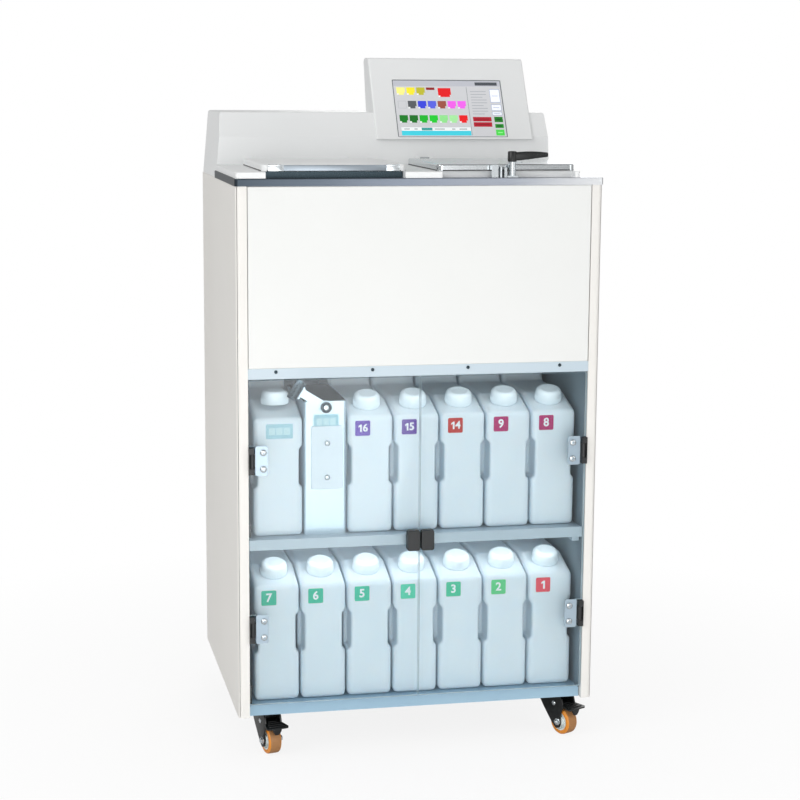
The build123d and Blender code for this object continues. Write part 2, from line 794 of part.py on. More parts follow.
def make_monitor_housing():
    """housing of the screen, which stands on the rear housing and laps over its leaning face"""
    roof = base + monitor_top
    floor = base + housing_top
    apron = base + monitor_apron
    outline = [(lean_y(apron, -monitor_proud), apron), (lean_y(roof, -monitor_proud), roof),
               (front + monitor_rear_high, roof), (front + monitor_rear_low, floor),
               (lean_y(floor, 0), floor), (lean_y(base + housing_fold, 0), base + housing_fold),
               (housing_front, apron)]
    body = side_profile(outline, monitor_left, monitor_right)
    body = fillet(body.edges().filter_by(Axis.X).group_by(Axis.Z)[-1], 7)
    sides = body.faces().sort_by(Axis.X)
    body = fillet(sides[0].edges().group_by(Axis.Z)[-1] + sides[-1].edges().group_by(Axis.Z)[-1], 3)
    hollow = [(lean_y(floor, 0), floor), (lean_y(roof - shell, shell - monitor_proud), roof - shell),
              (front + monitor_rear_high - shell - 1, roof - shell), (front + monitor_rear_low - shell, floor)]
    body -= side_profile(hollow, monitor_left + shell, monitor_right - shell)
    body -= screen_window(-0.6, -screen_glass - screen_inset, 12)
    body -= screen_window(8, -40, 10)
    keep("monitor_housing", body)


def make_screen():
    """touch glass and the display module behind it"""
    glass_back = -screen_inset - screen_glass
    glass = extrude(screen_plane().offset(glass_back) * RectangleRounded(screen_width, screen_height, 2),
                    amount=screen_glass)
    keep("touch_screen", glass)
    module = extrude(screen_plane().offset(glass_back - module_depth)
                     * RectangleRounded(screen_width - 14, screen_height - 14, 2), amount=module_depth)
    keep("display_module", module)


def make_fan():
    """fan behind the rear wall: square frame with a spider, and the rotor on its stub"""
    level = base + fan_level
    back = rear - shell
    start = back - fan_depth
    side = fan_size / 2
    frame = block(fan_x - side, fan_x + side, start, back, level - side, level + side)
    frame -= rod(fan_x, start, level, fan_bore + 0.5, fan_depth, "Y")
    spider = rod(fan_x, start, level, fan_hub - 2, 3, "Y") + rod(fan_x, start, level, 2, fan_depth - 6, "Y")
    for turn in range(4):
        arm = Pos(fan_x, start, level) * Rot(0, 45 + 90 * turn, 0) * block(0, fan_bore + 1, 0, 3, -2.5, 2.5)
        spider += arm
    keep("fan_frame", frame + spider)
    rotor_start = start + 4
    rotor_depth = fan_depth - 7
    rotor = rod(fan_x, rotor_start, level, fan_hub, rotor_depth, "Y")
    for turn in range(fan_blades):
        blade = Pos(fan_hub - 2, rotor_depth / 2, 0) * Rot(35, 0, 0) * block(0, fan_bore - fan_hub, -7, 7, -0.8, 0.8)
        rotor += Pos(fan_x, rotor_start, level) * Rot(0, turn * 360 / fan_blades, 0) * blade
    rotor -= rod(fan_x, rotor_start, level, 2 + running, rotor_depth - 3, "Y")
    keep("fan_rotor", rotor)


def make_spigot():
    """exhaust spigot on the rear wall of the housing"""
    level = base + fan_level
    side = spigot_flange / 2
    flange_plate = block(spigot_x - side, spigot_x + side, rear, rear + shell, level - side, level + side)
    flange_plate = fillet(flange_plate.edges().filter_by(Axis.Y), 6)
    spigot = flange_plate + rod(spigot_x, rear, level, spigot_radius, spigot_reach, "Y")
    keep("exhaust_spigot", spigot - rod(spigot_x, rear, level, spigot_bore, spigot_reach, "Y"))


def make_inlet():
    """mains inlet with three pins, the frame of the switch, and its rocker"""
    level = base + inlet_level
    plate_top = level + 32
    plate = block(inlet_x - 18, inlet_x + 18, rear, rear + sheet, level - 28, plate_top)
    plate = fillet(plate.edges().filter_by(Axis.Y), 3)
    half_width = inlet_width / 2
    body = block(inlet_x - half_width, inlet_x + half_width, rear - socket_depth - sheet, rear,
                 level - inlet_height / 2, level + inlet_height / 2)
    socket_z = level - 11
    socket = block(inlet_x - socket_width / 2, inlet_x + socket_width / 2, rear - socket_depth, rear + sheet,
                   socket_z - socket_height / 2, socket_z + socket_height / 2)
    rocker_z = level + 11
    pocket = block(inlet_x - rocker_height / 2 - 0.5, inlet_x + rocker_height / 2 + 0.5, rear - 9, rear + sheet,
                   rocker_z - rocker_width / 2 - 0.5, rocker_z + rocker_width / 2 + 0.5)
    inlet = plate + body - socket - pocket
    for x, z in ((0, 3), (-7, -2), (7, -2)):
        inlet += block(inlet_x + x - 1, inlet_x + x + 1, rear - socket_depth, rear - 6,
                       socket_z + z - 2.5, socket_z + z + 2.5)
    pivot_y = rear - 2
    inlet += rod(inlet_x, pivot_y, rocker_z - rocker_width / 2 - 0.5, 1.2, rocker_width + 1)
    keep("mains_inlet", inlet)
    reach = rocker_height / 2 - 0.6
    tip = 8.0
    outline = make_face(Polyline((-reach, -2), (-reach, 4), (0, 2.2), (reach, 4), (reach, -2), (0, -4.2), close=True))
    rocker = extrude(Plane.XY.offset(-rocker_width / 2) * outline, amount=rocker_width)
    rocker = Rot(0, 0, tip) * rocker - Cylinder(1.2 + running, rocker_width + 2)
    keep("power_switch", Pos(inlet_x, pivot_y, rocker_z) * rocker)


def make_valve():
    """rotary valve under the retort, its drive and its rotor"""
    x = retort_middle()
    y = front + (tank_front + tank_rear) / 2
    low = base + valve_low
    high = base + valve_high
    roof = 6.0
    floor = 4.0
    body = rod(x, y, low, valve_radius, high - low)
    body -= rod(x, y, low + floor, valve_rotor_radius + 2, high - low - roof - floor)
    body -= rod(x, y, low, valve_shaft + running, floor)
    body -= rod(x + drain_offset, y, high - roof, drain_radius, roof)
    keep("rotary_valve_body", body)
    motor = rod(x, y, rail_z + lining, motor_radius, low - rail_z - lining)
    motor -= rod(x, y, low - 20, valve_shaft + running, 20)
    keep("rotary_valve_body", motor)
    rotor = rod(x, y, low + floor + 1, valve_rotor_radius, high - low - roof - floor - 2)
    rotor -= rod(x + drain_offset, y, low + floor + 1, drain_radius - 1, high - low - roof - floor - 2)
    keep("valve_rotor", rotor + rod(x, y, low - 19, valve_shaft, 24))


def make_pump():
    """vacuum pump on the chassis behind the bay"""
    floor = chassis_z
    y = bay_back + lining + pump_gap + pump_depth / 2
    side = pump_width / 2
    pump = block(-side, side, y - pump_depth / 2, y + pump_depth / 2, floor, floor + pump_height)
    pump = fillet(pump.edges().filter_by(Axis.Z), 8)
    for x in (-head_pitch / 2, head_pitch / 2):
        pump += rod(x, y, floor + pump_height, head_radius, head_height)
        for rib in range(3):
            fin_z = floor + pump_height + fin_radius - head_radius + 2 + fin_pitch * rib
            pump += rod(x, y, fin_z, fin_radius, fin_thickness)
    keep("vacuum_pump", pump)


def make_power_supply():
    """power supply on the chassis behind the bay"""
    floor = chassis_z
    y = bay_back + lining
    supply = block(supply_left, supply_left + supply_width, y + supply_gap, y + supply_gap + supply_depth,
                   floor, floor + supply_height)
    keep("power_supply", fillet(supply.edges().filter_by(Axis.Z), 3))


def make_door(side):
    """clear door with notches and holes for its hinges, its leaves and its handle"""
    y0 = front + door_setback
    y1 = y0 + door_thickness
    z0 = base + door_bottom
    z1 = base + door_top
    panel = block(-inner + door_gap, -door_gap, y0, y1, z0, z1)
    panel = fillet(panel.edges().filter_by(Axis.Y), 2)
    axis_x = -inner + hinge_axis_in
    axis_y = front - hinge_axis_out
    leaf_x = axis_x + hinge_axis_in
    screw_x = leaf_x + leaf_width * 0.65
    leaves = []
    for level in (hinge_low, hinge_high):
        z = base + level
        panel -= block(-inner, leaf_x + 1, y0, y1, z - hinge_height / 2 - 1, z + hinge_height / 2 + 1)
        for turn in (-1, 1):
            panel -= rod(screw_x, y0, z + turn * leaf_screw_pitch / 2, leaf_screw + running, door_thickness, "Y")
        leaves += hinge_leaf(axis_x, axis_y, leaf_x, screw_x, y0, z)
    handle = block(-door_gap - handle_width, -door_gap, front - handle_reach, y0,
                   base + handle_level - handle_height / 2, base + handle_level + handle_height / 2)
    handle = fillet(handle.edges().filter_by(Axis.Y), 4)
    handle = fillet(handle.edges().group_by(Axis.Y)[0], 1.5)
    if side == "right":
        panel, handle = mirrored(panel), mirrored(handle)
        leaves = [mirrored(leaf) for leaf in leaves]
    keep(side + "_door_panel", panel)
    keep(side + "_door_handle", handle)
    keep(side + "_hinge_leaves", *leaves)


def hinge_leaf(axis_x, axis_y, leaf_x, screw_x, glass_y, z):
    """one steel leaf with its barrel and two screws with their nuts"""
    leaf = block(leaf_x, leaf_x + leaf_width, glass_y - sheet, glass_y, z - leaf_height / 2, z + leaf_height / 2)
    leaf = fillet(leaf.edges().filter_by(Axis.Y), 3)
    leaf += rod(axis_x, axis_y, z - barrel_height / 2, hinge_barrel, barrel_height)
    leaf += block(axis_x, leaf_x + 1, glass_y - sheet, glass_y, z - barrel_height / 2, z + barrel_height / 2)
    leaf -= rod(axis_x, axis_y, z - barrel_height / 2, hinge_pin + running, barrel_height)
    solids = []
    for turn in (-1, 1):
        screw_z = z + turn * leaf_screw_pitch / 2
        leaf -= rod(screw_x, glass_y - sheet, screw_z, leaf_screw + running, sheet, "Y")
        screw = rod(screw_x, glass_y - sheet, screw_z, leaf_screw, sheet + door_thickness, "Y")
        screw += rod(screw_x, glass_y - sheet - 2.4, screw_z, 4.2, 2.4, "Y")
        screw += rod(screw_x, glass_y + door_thickness, screw_z, 4.2, 3, "Y")
        solids.append(screw)
    return [leaf] + solids


def make_hinge_blocks():
    """black hinge blocks on the side panels, with the hinge pins"""
    axis_x = -inner + hinge_axis_in
    axis_y = front - hinge_axis_out
    slot = barrel_height / 2 + 0.5
    for level in (hinge_low, hinge_high):
        z = base + level
        body = block(-inner, axis_x + 3.1, axis_y - 4, front + 9, z - hinge_height / 2, z + hinge_height / 2)
        body -= block(axis_x - hinge_barrel - 0.4, axis_x + 4, axis_y - 5, axis_y + hinge_barrel + 0.5,
                      z - slot, z + slot)
        pin = rod(axis_x, axis_y, z - hinge_height / 2, hinge_pin, hinge_height)
        body -= pin
        keep("door_hinge_blocks", body, pin, mirrored(body), mirrored(pin))


def caster_places():
    """name, place of the kingpin and turn of each caster"""
    places = {}
    for name, turn in rest_turns.items():
        x = -caster_x if name.endswith("left") else caster_x
        y = front + caster_inset if name.startswith("front") else rear - caster_inset
        places[name] = (x, y, turn)
    return places


def fork_side():
    """one leg of a fork, drawn across the trail"""
    top = caster_height - plate_thickness - 4
    outline = [(16, top), (-20, top), (-24, top - 8), (-caster_trail - 12, wheel_radius + 3),
               (-caster_trail - 8, wheel_radius - 9), (-caster_trail + 6, wheel_radius - 9),
               (-caster_trail + 14, wheel_radius + 5), (16, top - 12)]
    leg = side_profile(outline, -fork_inside / 2 - fork_sheet, -fork_inside / 2)
    return leg - rod(-fork_inside, -caster_trail, wheel_radius, axle_radius, fork_inside, "X")


def caster_fork():
    """fork on the kingpin: round top, two legs, axle bolt with its head and nut"""
    top = caster_height - plate_thickness - 1
    fork = rod(0, 0, top - fork_sheet, fork_plate_radius, fork_sheet)
    fork += block(-fork_inside / 2 - fork_sheet, fork_inside / 2 + fork_sheet, -20, 16, top - fork_sheet, top)
    leg = fork_side()
    fork += leg
    fork += mirrored(leg)
    fork -= rod(0, 0, top - fork_sheet, kingpin_radius + running, fork_sheet)
    width = fork_inside + 2 * fork_sheet
    bolt = rod(-width / 2, -caster_trail, wheel_radius, axle_radius, width, "X")
    bolt += rod(-width / 2 - 3, -caster_trail, wheel_radius, 6.5, 3, "X")
    bolt += rod(width / 2, -caster_trail, wheel_radius, 6.5, 3, "X")
    return fork, bolt


def caster_wheel():
    """wheel: hub with the tread moulded round it"""
    start = -wheel_width / 2
    hub = tube(start, -caster_trail, wheel_radius, hub_radius, axle_radius + running, wheel_width, "X")
    tread = tube(start, -caster_trail, wheel_radius, wheel_radius, hub_radius, wheel_width, "X")
    rims = tread.edges().filter_by(GeomType.CIRCLE).filter_by(lambda edge: abs(edge.radius - wheel_radius) < 0.01)
    return hub, fillet(rims, 3)


def brake_pedal():
    """fan-shaped pedal over the wheel, on a cross pin in front of the kingpin"""
    z = caster_height - plate_thickness - 15
    pin_width = fork_inside + 2 * fork_sheet
    outline = Polyline((-9, -pedal_pivot), (9, -pedal_pivot), (pedal_width / 2, -pedal_length),
                       (-pedal_width / 2, -pedal_length), close=True)
    plate = extrude(make_face(outline), amount=pedal_sheet)
    plate = fillet(plate.edges().filter_by(Axis.Z).group_by(Axis.Y)[0], 5)
    fall = Pos(0, -pedal_pivot, z) * Rot(5, 0, 0) * Pos(0, pedal_pivot, 0) * plate
    pin = rod(-pin_width / 2, -pedal_pivot, z, 2.5, pin_width, "X")
    return fall + pin, z


def make_casters():
    """four swivel casters under the chassis, the front two with a brake pedal"""
    pedal, pedal_z = brake_pedal()
    pin_hole = rod(-fork_inside, -pedal_pivot, pedal_z, 2.5 + running, 2 * fork_inside, "X")
    for name, (x, y, turn) in caster_places().items():
        spot = Pos(x, y, 0) * Rot(0, 0, turn)
        side = caster_plate / 2
        plate = block(x - side, x + side, y - side, y + side, caster_height - plate_thickness, caster_height)
        plate = fillet(plate.edges().filter_by(Axis.Z), 5)
        pin_length = 1 + fork_sheet + 0.5
        plate += rod(x, y, caster_height - plate_thickness - pin_length, kingpin_radius, pin_length)
        plate += rod(x, y, caster_height - plate_thickness - pin_length - 2, kingpin_radius + 3, 2)
        keep("caster_plates", plate)
        fork, bolt = caster_fork()
        if name.startswith("front"):
            fork -= pin_hole
            keep(name + "_brake_pedal", spot * pedal)
        keep(name + "_caster_fork", spot * fork, spot * bolt)
        keep(name + "_caster_wheel", *[spot * solid for solid in caster_wheel()])


def write_parts():
    """one STEP file for each sub-part"""
    os.makedirs("parts", exist_ok=True)
    for name, solids in nodes.items():
        shape = solids[0] if len(solids) == 1 else Compound(children=solids)
        export_step(shape, "parts/" + name + ".step")
    print(len(nodes), "sub-parts written")


make_side_panels()
make_base_chassis()
make_rear_panel()
make_cabinet_screws()
make_front_panel()
make_top_rail()
make_bay_liner()
make_bottom_tray()
make_middle_shelf()
make_bottles()
make_bottle_couplings()
make_carbon_filter()
make_worktop()
make_surround()
make_tanks()
make_lid("paraffin_lid", oven_lid_left, oven_lid_right)
make_lid("retort_lid", retort_lid_left, retort_lid_right)
make_lid_hinges()
make_clamp()
make_rear_housing()
make_monitor_housing()
make_screen()
make_fan()
make_spigot()
make_inlet()
make_valve()
make_pump()
make_power_supply()
make_door("left")
make_door("right")
make_hinge_blocks()
make_casters()
write_parts()
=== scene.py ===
import bpy, bmesh, math
from mathutils import Matrix, Vector


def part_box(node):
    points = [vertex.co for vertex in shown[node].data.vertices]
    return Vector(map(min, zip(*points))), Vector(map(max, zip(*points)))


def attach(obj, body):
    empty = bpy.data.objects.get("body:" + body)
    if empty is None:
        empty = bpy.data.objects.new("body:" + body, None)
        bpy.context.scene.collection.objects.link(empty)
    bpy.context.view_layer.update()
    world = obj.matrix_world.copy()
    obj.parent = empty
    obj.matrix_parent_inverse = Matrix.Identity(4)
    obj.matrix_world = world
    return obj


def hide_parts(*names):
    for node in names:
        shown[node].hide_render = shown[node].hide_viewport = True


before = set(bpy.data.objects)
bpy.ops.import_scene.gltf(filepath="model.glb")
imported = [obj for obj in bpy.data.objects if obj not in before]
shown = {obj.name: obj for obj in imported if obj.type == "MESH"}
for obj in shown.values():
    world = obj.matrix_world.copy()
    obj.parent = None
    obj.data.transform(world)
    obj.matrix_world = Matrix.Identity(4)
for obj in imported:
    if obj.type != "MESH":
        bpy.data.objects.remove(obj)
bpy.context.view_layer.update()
scene = bpy.context.scene
mm = 0.001

# front and rear planes of the cabinet, and the levels that the bottles stand on, in millimetres
cabinet = {"frontY": -242.5, "rearY": 227.5, "trayZ": 86.0, "shelfZ": 365.0}


# small helpers

def linearColour(code):
    # sRGB hex to linear
    parts = [int(code[i:i + 2], 16) / 255 for i in (1, 3, 5)]
    return tuple(c / 12.92 if c <= 0.04045 else ((c + 0.055) / 1.055) ** 2.4 for c in parts) + (1.0,)


def addNode(tree, kind, values=None, links=None, **settings):
    node = tree.nodes.new(kind)
    for key, value in settings.items():
        setattr(node, key, value)
    for key, value in (values or {}).items():
        node.inputs[key].default_value = value
    for key, socket in (links or {}).items():
        tree.links.new(socket, node.inputs[key])
    return node


def emptyTree(owner):
    owner.use_nodes = True
    owner.node_tree.nodes.clear()
    return owner.node_tree


def startMaterial(name, values):
    material = bpy.data.materials.new(name)
    tree = emptyTree(material)
    shader = addNode(tree, "ShaderNodeBsdfPrincipled", values)
    addNode(tree, "ShaderNodeOutputMaterial", links={"Surface": shader.outputs[0]})
    where = addNode(tree, "ShaderNodeTexCoord").outputs["Object"]
    return material, tree, shader, where


def blendColours(tree, factor, codes):
    # the colours at even steps of a pattern
    ramp = addNode(tree, "ShaderNodeValToRGB", links={"Fac": factor})
    ramp.color_ramp.elements[0].color = linearColour(codes[0])
    ramp.color_ramp.elements[1].color = linearColour(codes[-1])
    for i, code in enumerate(codes[1:-1]):
        ramp.color_ramp.elements.new((i + 1) / (len(codes) - 1)).color = linearColour(code)
    return ramp.outputs[0]


def addNoise(tree, where, scale, detail):
    noise = addNode(tree, "ShaderNodeTexNoise", {"Scale": scale, "Detail": detail}, {"Vector": where})
    return noise.outputs["Fac"]


def addRange(tree, value, low, high, start=0.0, end=1.0):
    # start to end of the value become low to high
    limits = {"From Min": start, "From Max": end, "To Min": low, "To Max": high}
    return addNode(tree, "ShaderNodeMapRange", limits, {"Value": value}).outputs[0]


def addMath(tree, operation, first, second):
    return addNode(tree, "ShaderNodeMath", links={0: first, 1: second}, operation=operation).outputs[0]


def mixShaders(tree, factor, first, second):
    links = {0: factor, 1: first.outputs[0], 2: second.outputs[0]}
    return addNode(tree, "ShaderNodeMixShader", links=links).outputs[0]


def addBump(tree, shader, height, strength, depth):
    bump = addNode(tree, "ShaderNodeBump", {"Strength": strength, "Distance": depth * mm}, {"Height": height})
    tree.links.new(bump.outputs[0], shader.inputs["Normal"])


def addRoughness(tree, shader, pattern, low, high):
    tree.links.new(addRange(tree, pattern, low, high), shader.inputs["Roughness"])


# finishes

def coatedFinish(name, low, high, roughness, peelSize, peelDepth, metallic=0.0):
    # coated, plated or moulded: a slight drift of colour and a fine peel
    material, tree, shader, where = startMaterial(name, {"Metallic": metallic})
    drift = addNoise(tree, where, 1 / (180 * mm), 2.0)
    peel = addNoise(tree, where, 1 / (peelSize * mm), 2.0)
    tree.links.new(blendColours(tree, drift, (low, high)), shader.inputs["Base Color"])
    addRoughness(tree, shader, peel, roughness - 0.04, roughness + 0.04)
    addBump(tree, shader, peel, 0.5, peelDepth)
    return material


def brushedFinish(name, codes, roughness, grainLength, grainWidth, grainDepth, reflectionSpan=None):
    # brushed or polished stainless: long fine scratches along X. With a span in X a painted reflection runs
    # along the piece, from dark to pale, as the room would show in a long edge
    material, tree, shader, where = startMaterial(name, {"Metallic": 1.0, "Anisotropic": 0.4})
    stretch = (1 / (grainLength * mm), 1 / (grainWidth * mm), 1 / (grainWidth * mm))
    stretched = addNode(tree, "ShaderNodeMapping", {"Scale": stretch}, {"Vector": where}).outputs[0]
    grain = addNoise(tree, stretched, 1.0, 4.0)
    tone = grain
    if reflectionSpan:
        # painted reflection: across the span in X the colour goes from dark to pale, in place of the room seen
        # in the steel
        across = addNode(tree, "ShaderNodeSeparateXYZ", links={0: where}).outputs[0]
        along = addRange(tree, across, 0.0, 1.0, reflectionSpan[0] * mm, reflectionSpan[1] * mm)
        tone = addMath(tree, "ADD", along, addRange(tree, grain, -0.06, 0.06))
    tree.links.new(blendColours(tree, tone, codes), shader.inputs["Base Color"])
    addRoughness(tree, shader, grain, roughness - 0.07, roughness + 0.09)
    addBump(tree, shader, grain, 0.4, grainDepth)
    return material


def hdpeFinish(name, low, high, cloud):
    # natural high-density polyethylene: milky, light bleeds through the thin wall
    material, tree, shader, where = startMaterial(name, {"Roughness": 0.42, "IOR": 1.54,
                                                         "Subsurface Weight": 0.3, "Subsurface Scale": 0.01,
                                                         "Subsurface Radius": (0.8, 1.0, 1.1)})
    drift = addNoise(tree, where, 1 / (cloud * mm), 3.0)
    tree.links.new(blendColours(tree, drift, (low, high)), shader.inputs["Base Color"])
    addBump(tree, shader, drift, 0.3, 0.4)
    return material


def acrylicFinish(name, tint):
    # cast acrylic sheet: nearly all light goes straight through, a thin mirror lies on top
    material, tree, shader, where = startMaterial(name, {"Roughness": 0.05})
    tree.nodes.remove(shader)
    output = [node for node in tree.nodes if node.bl_idname == "ShaderNodeOutputMaterial"][0]
    haze = addNoise(tree, where, 1 / (90 * mm), 2.0)
    clear = addNode(tree, "ShaderNodeBsdfTransparent", {"Color": linearColour(tint)})
    gloss = addNode(tree, "ShaderNodeBsdfGlossy", {"Color": (0.9, 0.95, 1.0, 1.0)},
                    {"Roughness": addRange(tree, haze, 0.03, 0.12)})
    edge = addNode(tree, "ShaderNodeFresnel", {"IOR": 1.35})
    tree.links.new(mixShaders(tree, edge.outputs[0], clear, gloss), output.inputs["Surface"])
    return material


def attributeFinish(name, attribute, roughness, glow):
    # printed or lit surface whose colour is stored on its faces
    material, tree, shader, where = startMaterial(name, {"Roughness": roughness, "Emission Strength": glow})
    colour = addNode(tree, "ShaderNodeAttribute", attribute_name=attribute)
    tree.links.new(colour.outputs["Color"], shader.inputs["Base Color"])
    if glow:
        tree.links.new(colour.outputs["Color"], shader.inputs["Emission Color"])
    addBump(tree, shader, addNoise(tree, where, 1 / (0.6 * mm), 2.0), 0.1, 0.05)
    return material


# warm white powder coat, faint orange peel, soft sheen
powderWhite = coatedFinish("powder_coat_warm_white", "#e4e2dd", "#e9e7e3", 0.48, 1.4, 0.05)
powderPanel = coatedFinish("powder_coat_front_panel", "#e1e2e0", "#e5e6e4", 0.45, 1.4, 0.05)
# moulded ABS, cooler and a little glossier
mouldedWhite = coatedFinish("moulded_abs_white", "#e6e8e8", "#eceded", 0.38, 0.9, 0.03)
# pale blue coated sheet of the bay, its tray and its darker lining
paleBlueSheet = coatedFinish("pale_blue_coated_sheet", "#b7c7d1", "#c6d4dd", 0.35, 1.2, 0.04)
trayBlueSheet = coatedFinish("tray_blue_coated_sheet", "#8fb0c6", "#a3c2d4", 0.35, 1.2, 0.04)
bayLining = coatedFinish("bay_lining_slate", "#6d7d86", "#82929a", 0.4, 1.2, 0.04)
# satin metals, pale and bluish or dark, half mirror; the dark one also serves as painted shade in the recess
# under the paraffin lid
zincLeaf = coatedFinish("passivated_zinc_hinge_leaf", "#9bafbd", "#b4c5d1", 0.3, 2.0, 0.02, metallic=0.4)
filterSheet = coatedFinish("satin_stainless_filter_box", "#bfd2de", "#cfe0ea", 0.3, 1.5, 0.01, metallic=0.45)
gunmetalAndShade = coatedFinish("burnished_steel_grip_and_painted_shade", "#27333a", "#3a4a52", 0.28, 3.0, 0.02, metallic=0.7)
zincPlate = coatedFinish("zinc_plated_steel", "#8f9597", "#a9afb2", 0.38, 4.0, 0.02, metallic=0.9)
# white enamel plate, and near-black matt colour painted on the filter box's top faces as the shade in its open
# mouth
filterPlate = coatedFinish("enamelled_filter_plate", "#e2eef6", "#ecf5fb", 0.3, 1.5, 0.02)
filterMouthShade = coatedFinish("painted_shade_filter_mouth", "#14181a", "#1c2123", 0.92, 1.0, 0.3)
# plain plastics, silicone and board, each with its own peel
nylonHub = coatedFinish("nylon_wheel_hub", "#cfdad9", "#dfe6e4", 0.4, 1.0, 0.03)
acrylicEdge = coatedFinish("sawn_acrylic_edge", "#c9dadf", "#dbe7ea", 0.25, 0.8, 0.03)
# the black nylon also gives the painted shade in the strips under the lid edges
nylonBlackAndShade = coatedFinish("glass_filled_nylon_black_and_painted_shade", "#17191a", "#222527", 0.42, 0.7, 0.05)
greyPlastic = coatedFinish("abs_mid_grey", "#6d7275", "#7a8083", 0.45, 0.8, 0.04)
capPlastic = coatedFinish("polypropylene_cap", "#e0ecf2", "#e8f2f7", 0.36, 0.8, 0.02)
siliconeRed = coatedFinish("silicone_seal_red", "#6f2419", "#7f2e20", 0.55, 1.0, 0.05)
boardGreen = coatedFinish("epoxy_board_green", "#1d4a30", "#28603f", 0.4, 3.0, 0.1)
# stoved black enamel, deep and shiny
enamelBlack = coatedFinish("stove_enamel_black", "#070909", "#0e1112", 0.34, 1.6, 0.04)
# cast polyurethane, bright at the sides and dusty where it rolls
polyurethane = coatedFinish("cast_polyurethane_orange", "#cf7a20", "#e8952f", 0.36, 2.0, 0.05)
polyurethaneWorn = coatedFinish("rolled_polyurethane_dusty", "#8f6a48", "#b27c46", 0.6, 3.0, 0.12)
# stainless: brushed, polished and bright; the rim has a painted reflection running from dark to pale along X
steelBrushed = brushedFinish("brushed_stainless_worktop", ("#7f8890", "#a2abb3"), 0.32, 60, 0.35, 0.02)
steelRimPaintedReflection = brushedFinish("brushed_stainless_rim_painted_reflection", ("#3c454d", "#5b646e", "#858d99", "#a3a9b4", "#eceef0"),
                         0.3, 60, 0.4, 0.02, (-320, 300))
steelPolished = brushedFinish("polished_stainless_lid", ("#c6cbce", "#dfe3e5"), 0.16, 80, 0.3, 0.004)
steelBright = brushedFinish("bright_stainless_fittings", ("#b9c0c4", "#dde2e5"), 0.22, 12, 0.3, 0.006)
# milky bottles and clear doors
hdpeNatural = hdpeFinish("blow_moulded_hdpe", "#e3f0fb", "#eef7fe", 40)
acrylicClear = acrylicFinish("cast_acrylic_door", "#fcfefe")


def coat(names, material):
    # give the CAD nodes a finish
    for name in names:
        node = shown[name]
        node.data.materials.clear()
        node.data.materials.append(material)
        for polygon in node.data.polygons:
            polygon.material_index = 0


coat(["left_side_panel", "right_side_panel", "rear_panel"], powderWhite)
coat(["front_panel"], powderPanel)
coat(["rear_housing", "monitor_housing", "worktop_surround", "paraffin_lid", "lid_hinges"], mouldedWhite)
coat(["bay_top_rail", "middle_shelf"], paleBlueSheet)
coat(["bottom_tray"], trayBlueSheet)
coat(["bay_liner"], bayLining)
coat(["worktop"], steelRimPaintedReflection)
coat(["paraffin_oven", "retort_vessel", "rotary_valve_body", "valve_rotor"], steelBrushed)
coat(["retort_lid"], steelPolished)
coat(["clamp_bracket", "clamp_spindle", "cabinet_screws"], steelBright)
coat(["left_hinge_leaves", "right_hinge_leaves"], zincLeaf)
coat(["carbon_filter_box", "filter_lever"], filterSheet)
coat(["filter_front_plate"], filterPlate)
coat(["base_chassis", "power_supply", "caster_plates"], zincPlate)
coat(["door_hinge_blocks", "left_door_handle", "right_door_handle", "fan_frame", "fan_rotor", "mains_inlet",
      "power_switch"], nylonBlackAndShade)
coat(["clamp_lever", "vacuum_pump"] + [n for n in shown if n.endswith(("_fork", "_pedal"))], enamelBlack)
coat(["exhaust_spigot", "bottle_couplings", "touch_screen"], greyPlastic)
coat(["display_module"], boardGreen)
coat(["retort_gasket"], siliconeRed)
coat(["lower_bottles", "upper_bottles", "condensate_bottle"], hdpeNatural)
coat(["bottle_caps"], capPlastic)
coat(["left_door_panel", "right_door_panel"], acrylicClear)
coat([n for n in shown if n.endswith("_wheel")], polyurethane)


def coatFacing(name, material, chosen):
    # a second finish on the faces whose direction is chosen
    mesh = shown[name].data
    mesh.materials.append(material)
    index = len(mesh.materials) - 1
    for polygon in mesh.polygons:
        if chosen(polygon):
            polygon.material_index = index


# where a second finish begins, in metres: hinge barrel, painted shade in the recess under the lid's front, grip
# of the filter lever
split = {"barrel": 0.2715, "recessShadeLeft": -0.243, "recessShadeRight": -0.03, "recessShadeLow": 0.9505,
         "pivot": Vector((-0.15, 0, 0.578)), "arm": Vector((-0.848, 0, 0.53)), "grip": 0.0515}
for side in ("left", "right"):
    coatFacing(side + "_door_panel", acrylicEdge, lambda face: abs(face.normal.y) < 0.7)
    coatFacing(side + "_hinge_leaves", nylonBlackAndShade, lambda face: abs(face.center.x) > split["barrel"])
# painted shade: the filter box's upward faces are near-black, for the open mouth that light doesn't reach
coatFacing("carbon_filter_box", filterMouthShade, lambda face: face.normal.z > 0.7)
# the front faces in the recess under the paraffin lid are painted dark: painted shade of the gap under the lid
coatFacing("worktop_surround", gunmetalAndShade,
           lambda face: face.normal.y < -0.7 and face.center.z > split["recessShadeLow"]
           and split["recessShadeLeft"] < face.center.x < split["recessShadeRight"])
coatFacing("filter_lever", gunmetalAndShade,
           lambda face: (face.center - split["pivot"]).dot(split["arm"]) > split["grip"])
print("finishes on the CAD nodes")


# mesh helpers, all sizes in millimetres

def moveNew(bm, start, where):
    # move the corners made since start
    bm.verts.ensure_lookup_table()
    for vert in bm.verts[start:]:
        vert.co = where @ vert.co


def addBlock(bm, low, high, bevel, segments=2, where=Matrix()):
    start = len(bm.verts)
    made = bmesh.ops.create_cube(bm, size=1.0)["verts"]
    for vert in made:
        vert.co = Vector([(a + (b - a) * (c + 0.5)) * mm for a, b, c in zip(low, high, vert.co)])
    edges = list({edge for vert in made for edge in vert.link_edges})
    bmesh.ops.bevel(bm, geom=edges, offset=bevel * mm, segments=segments, profile=0.5, affect="EDGES")
    moveNew(bm, start, where)


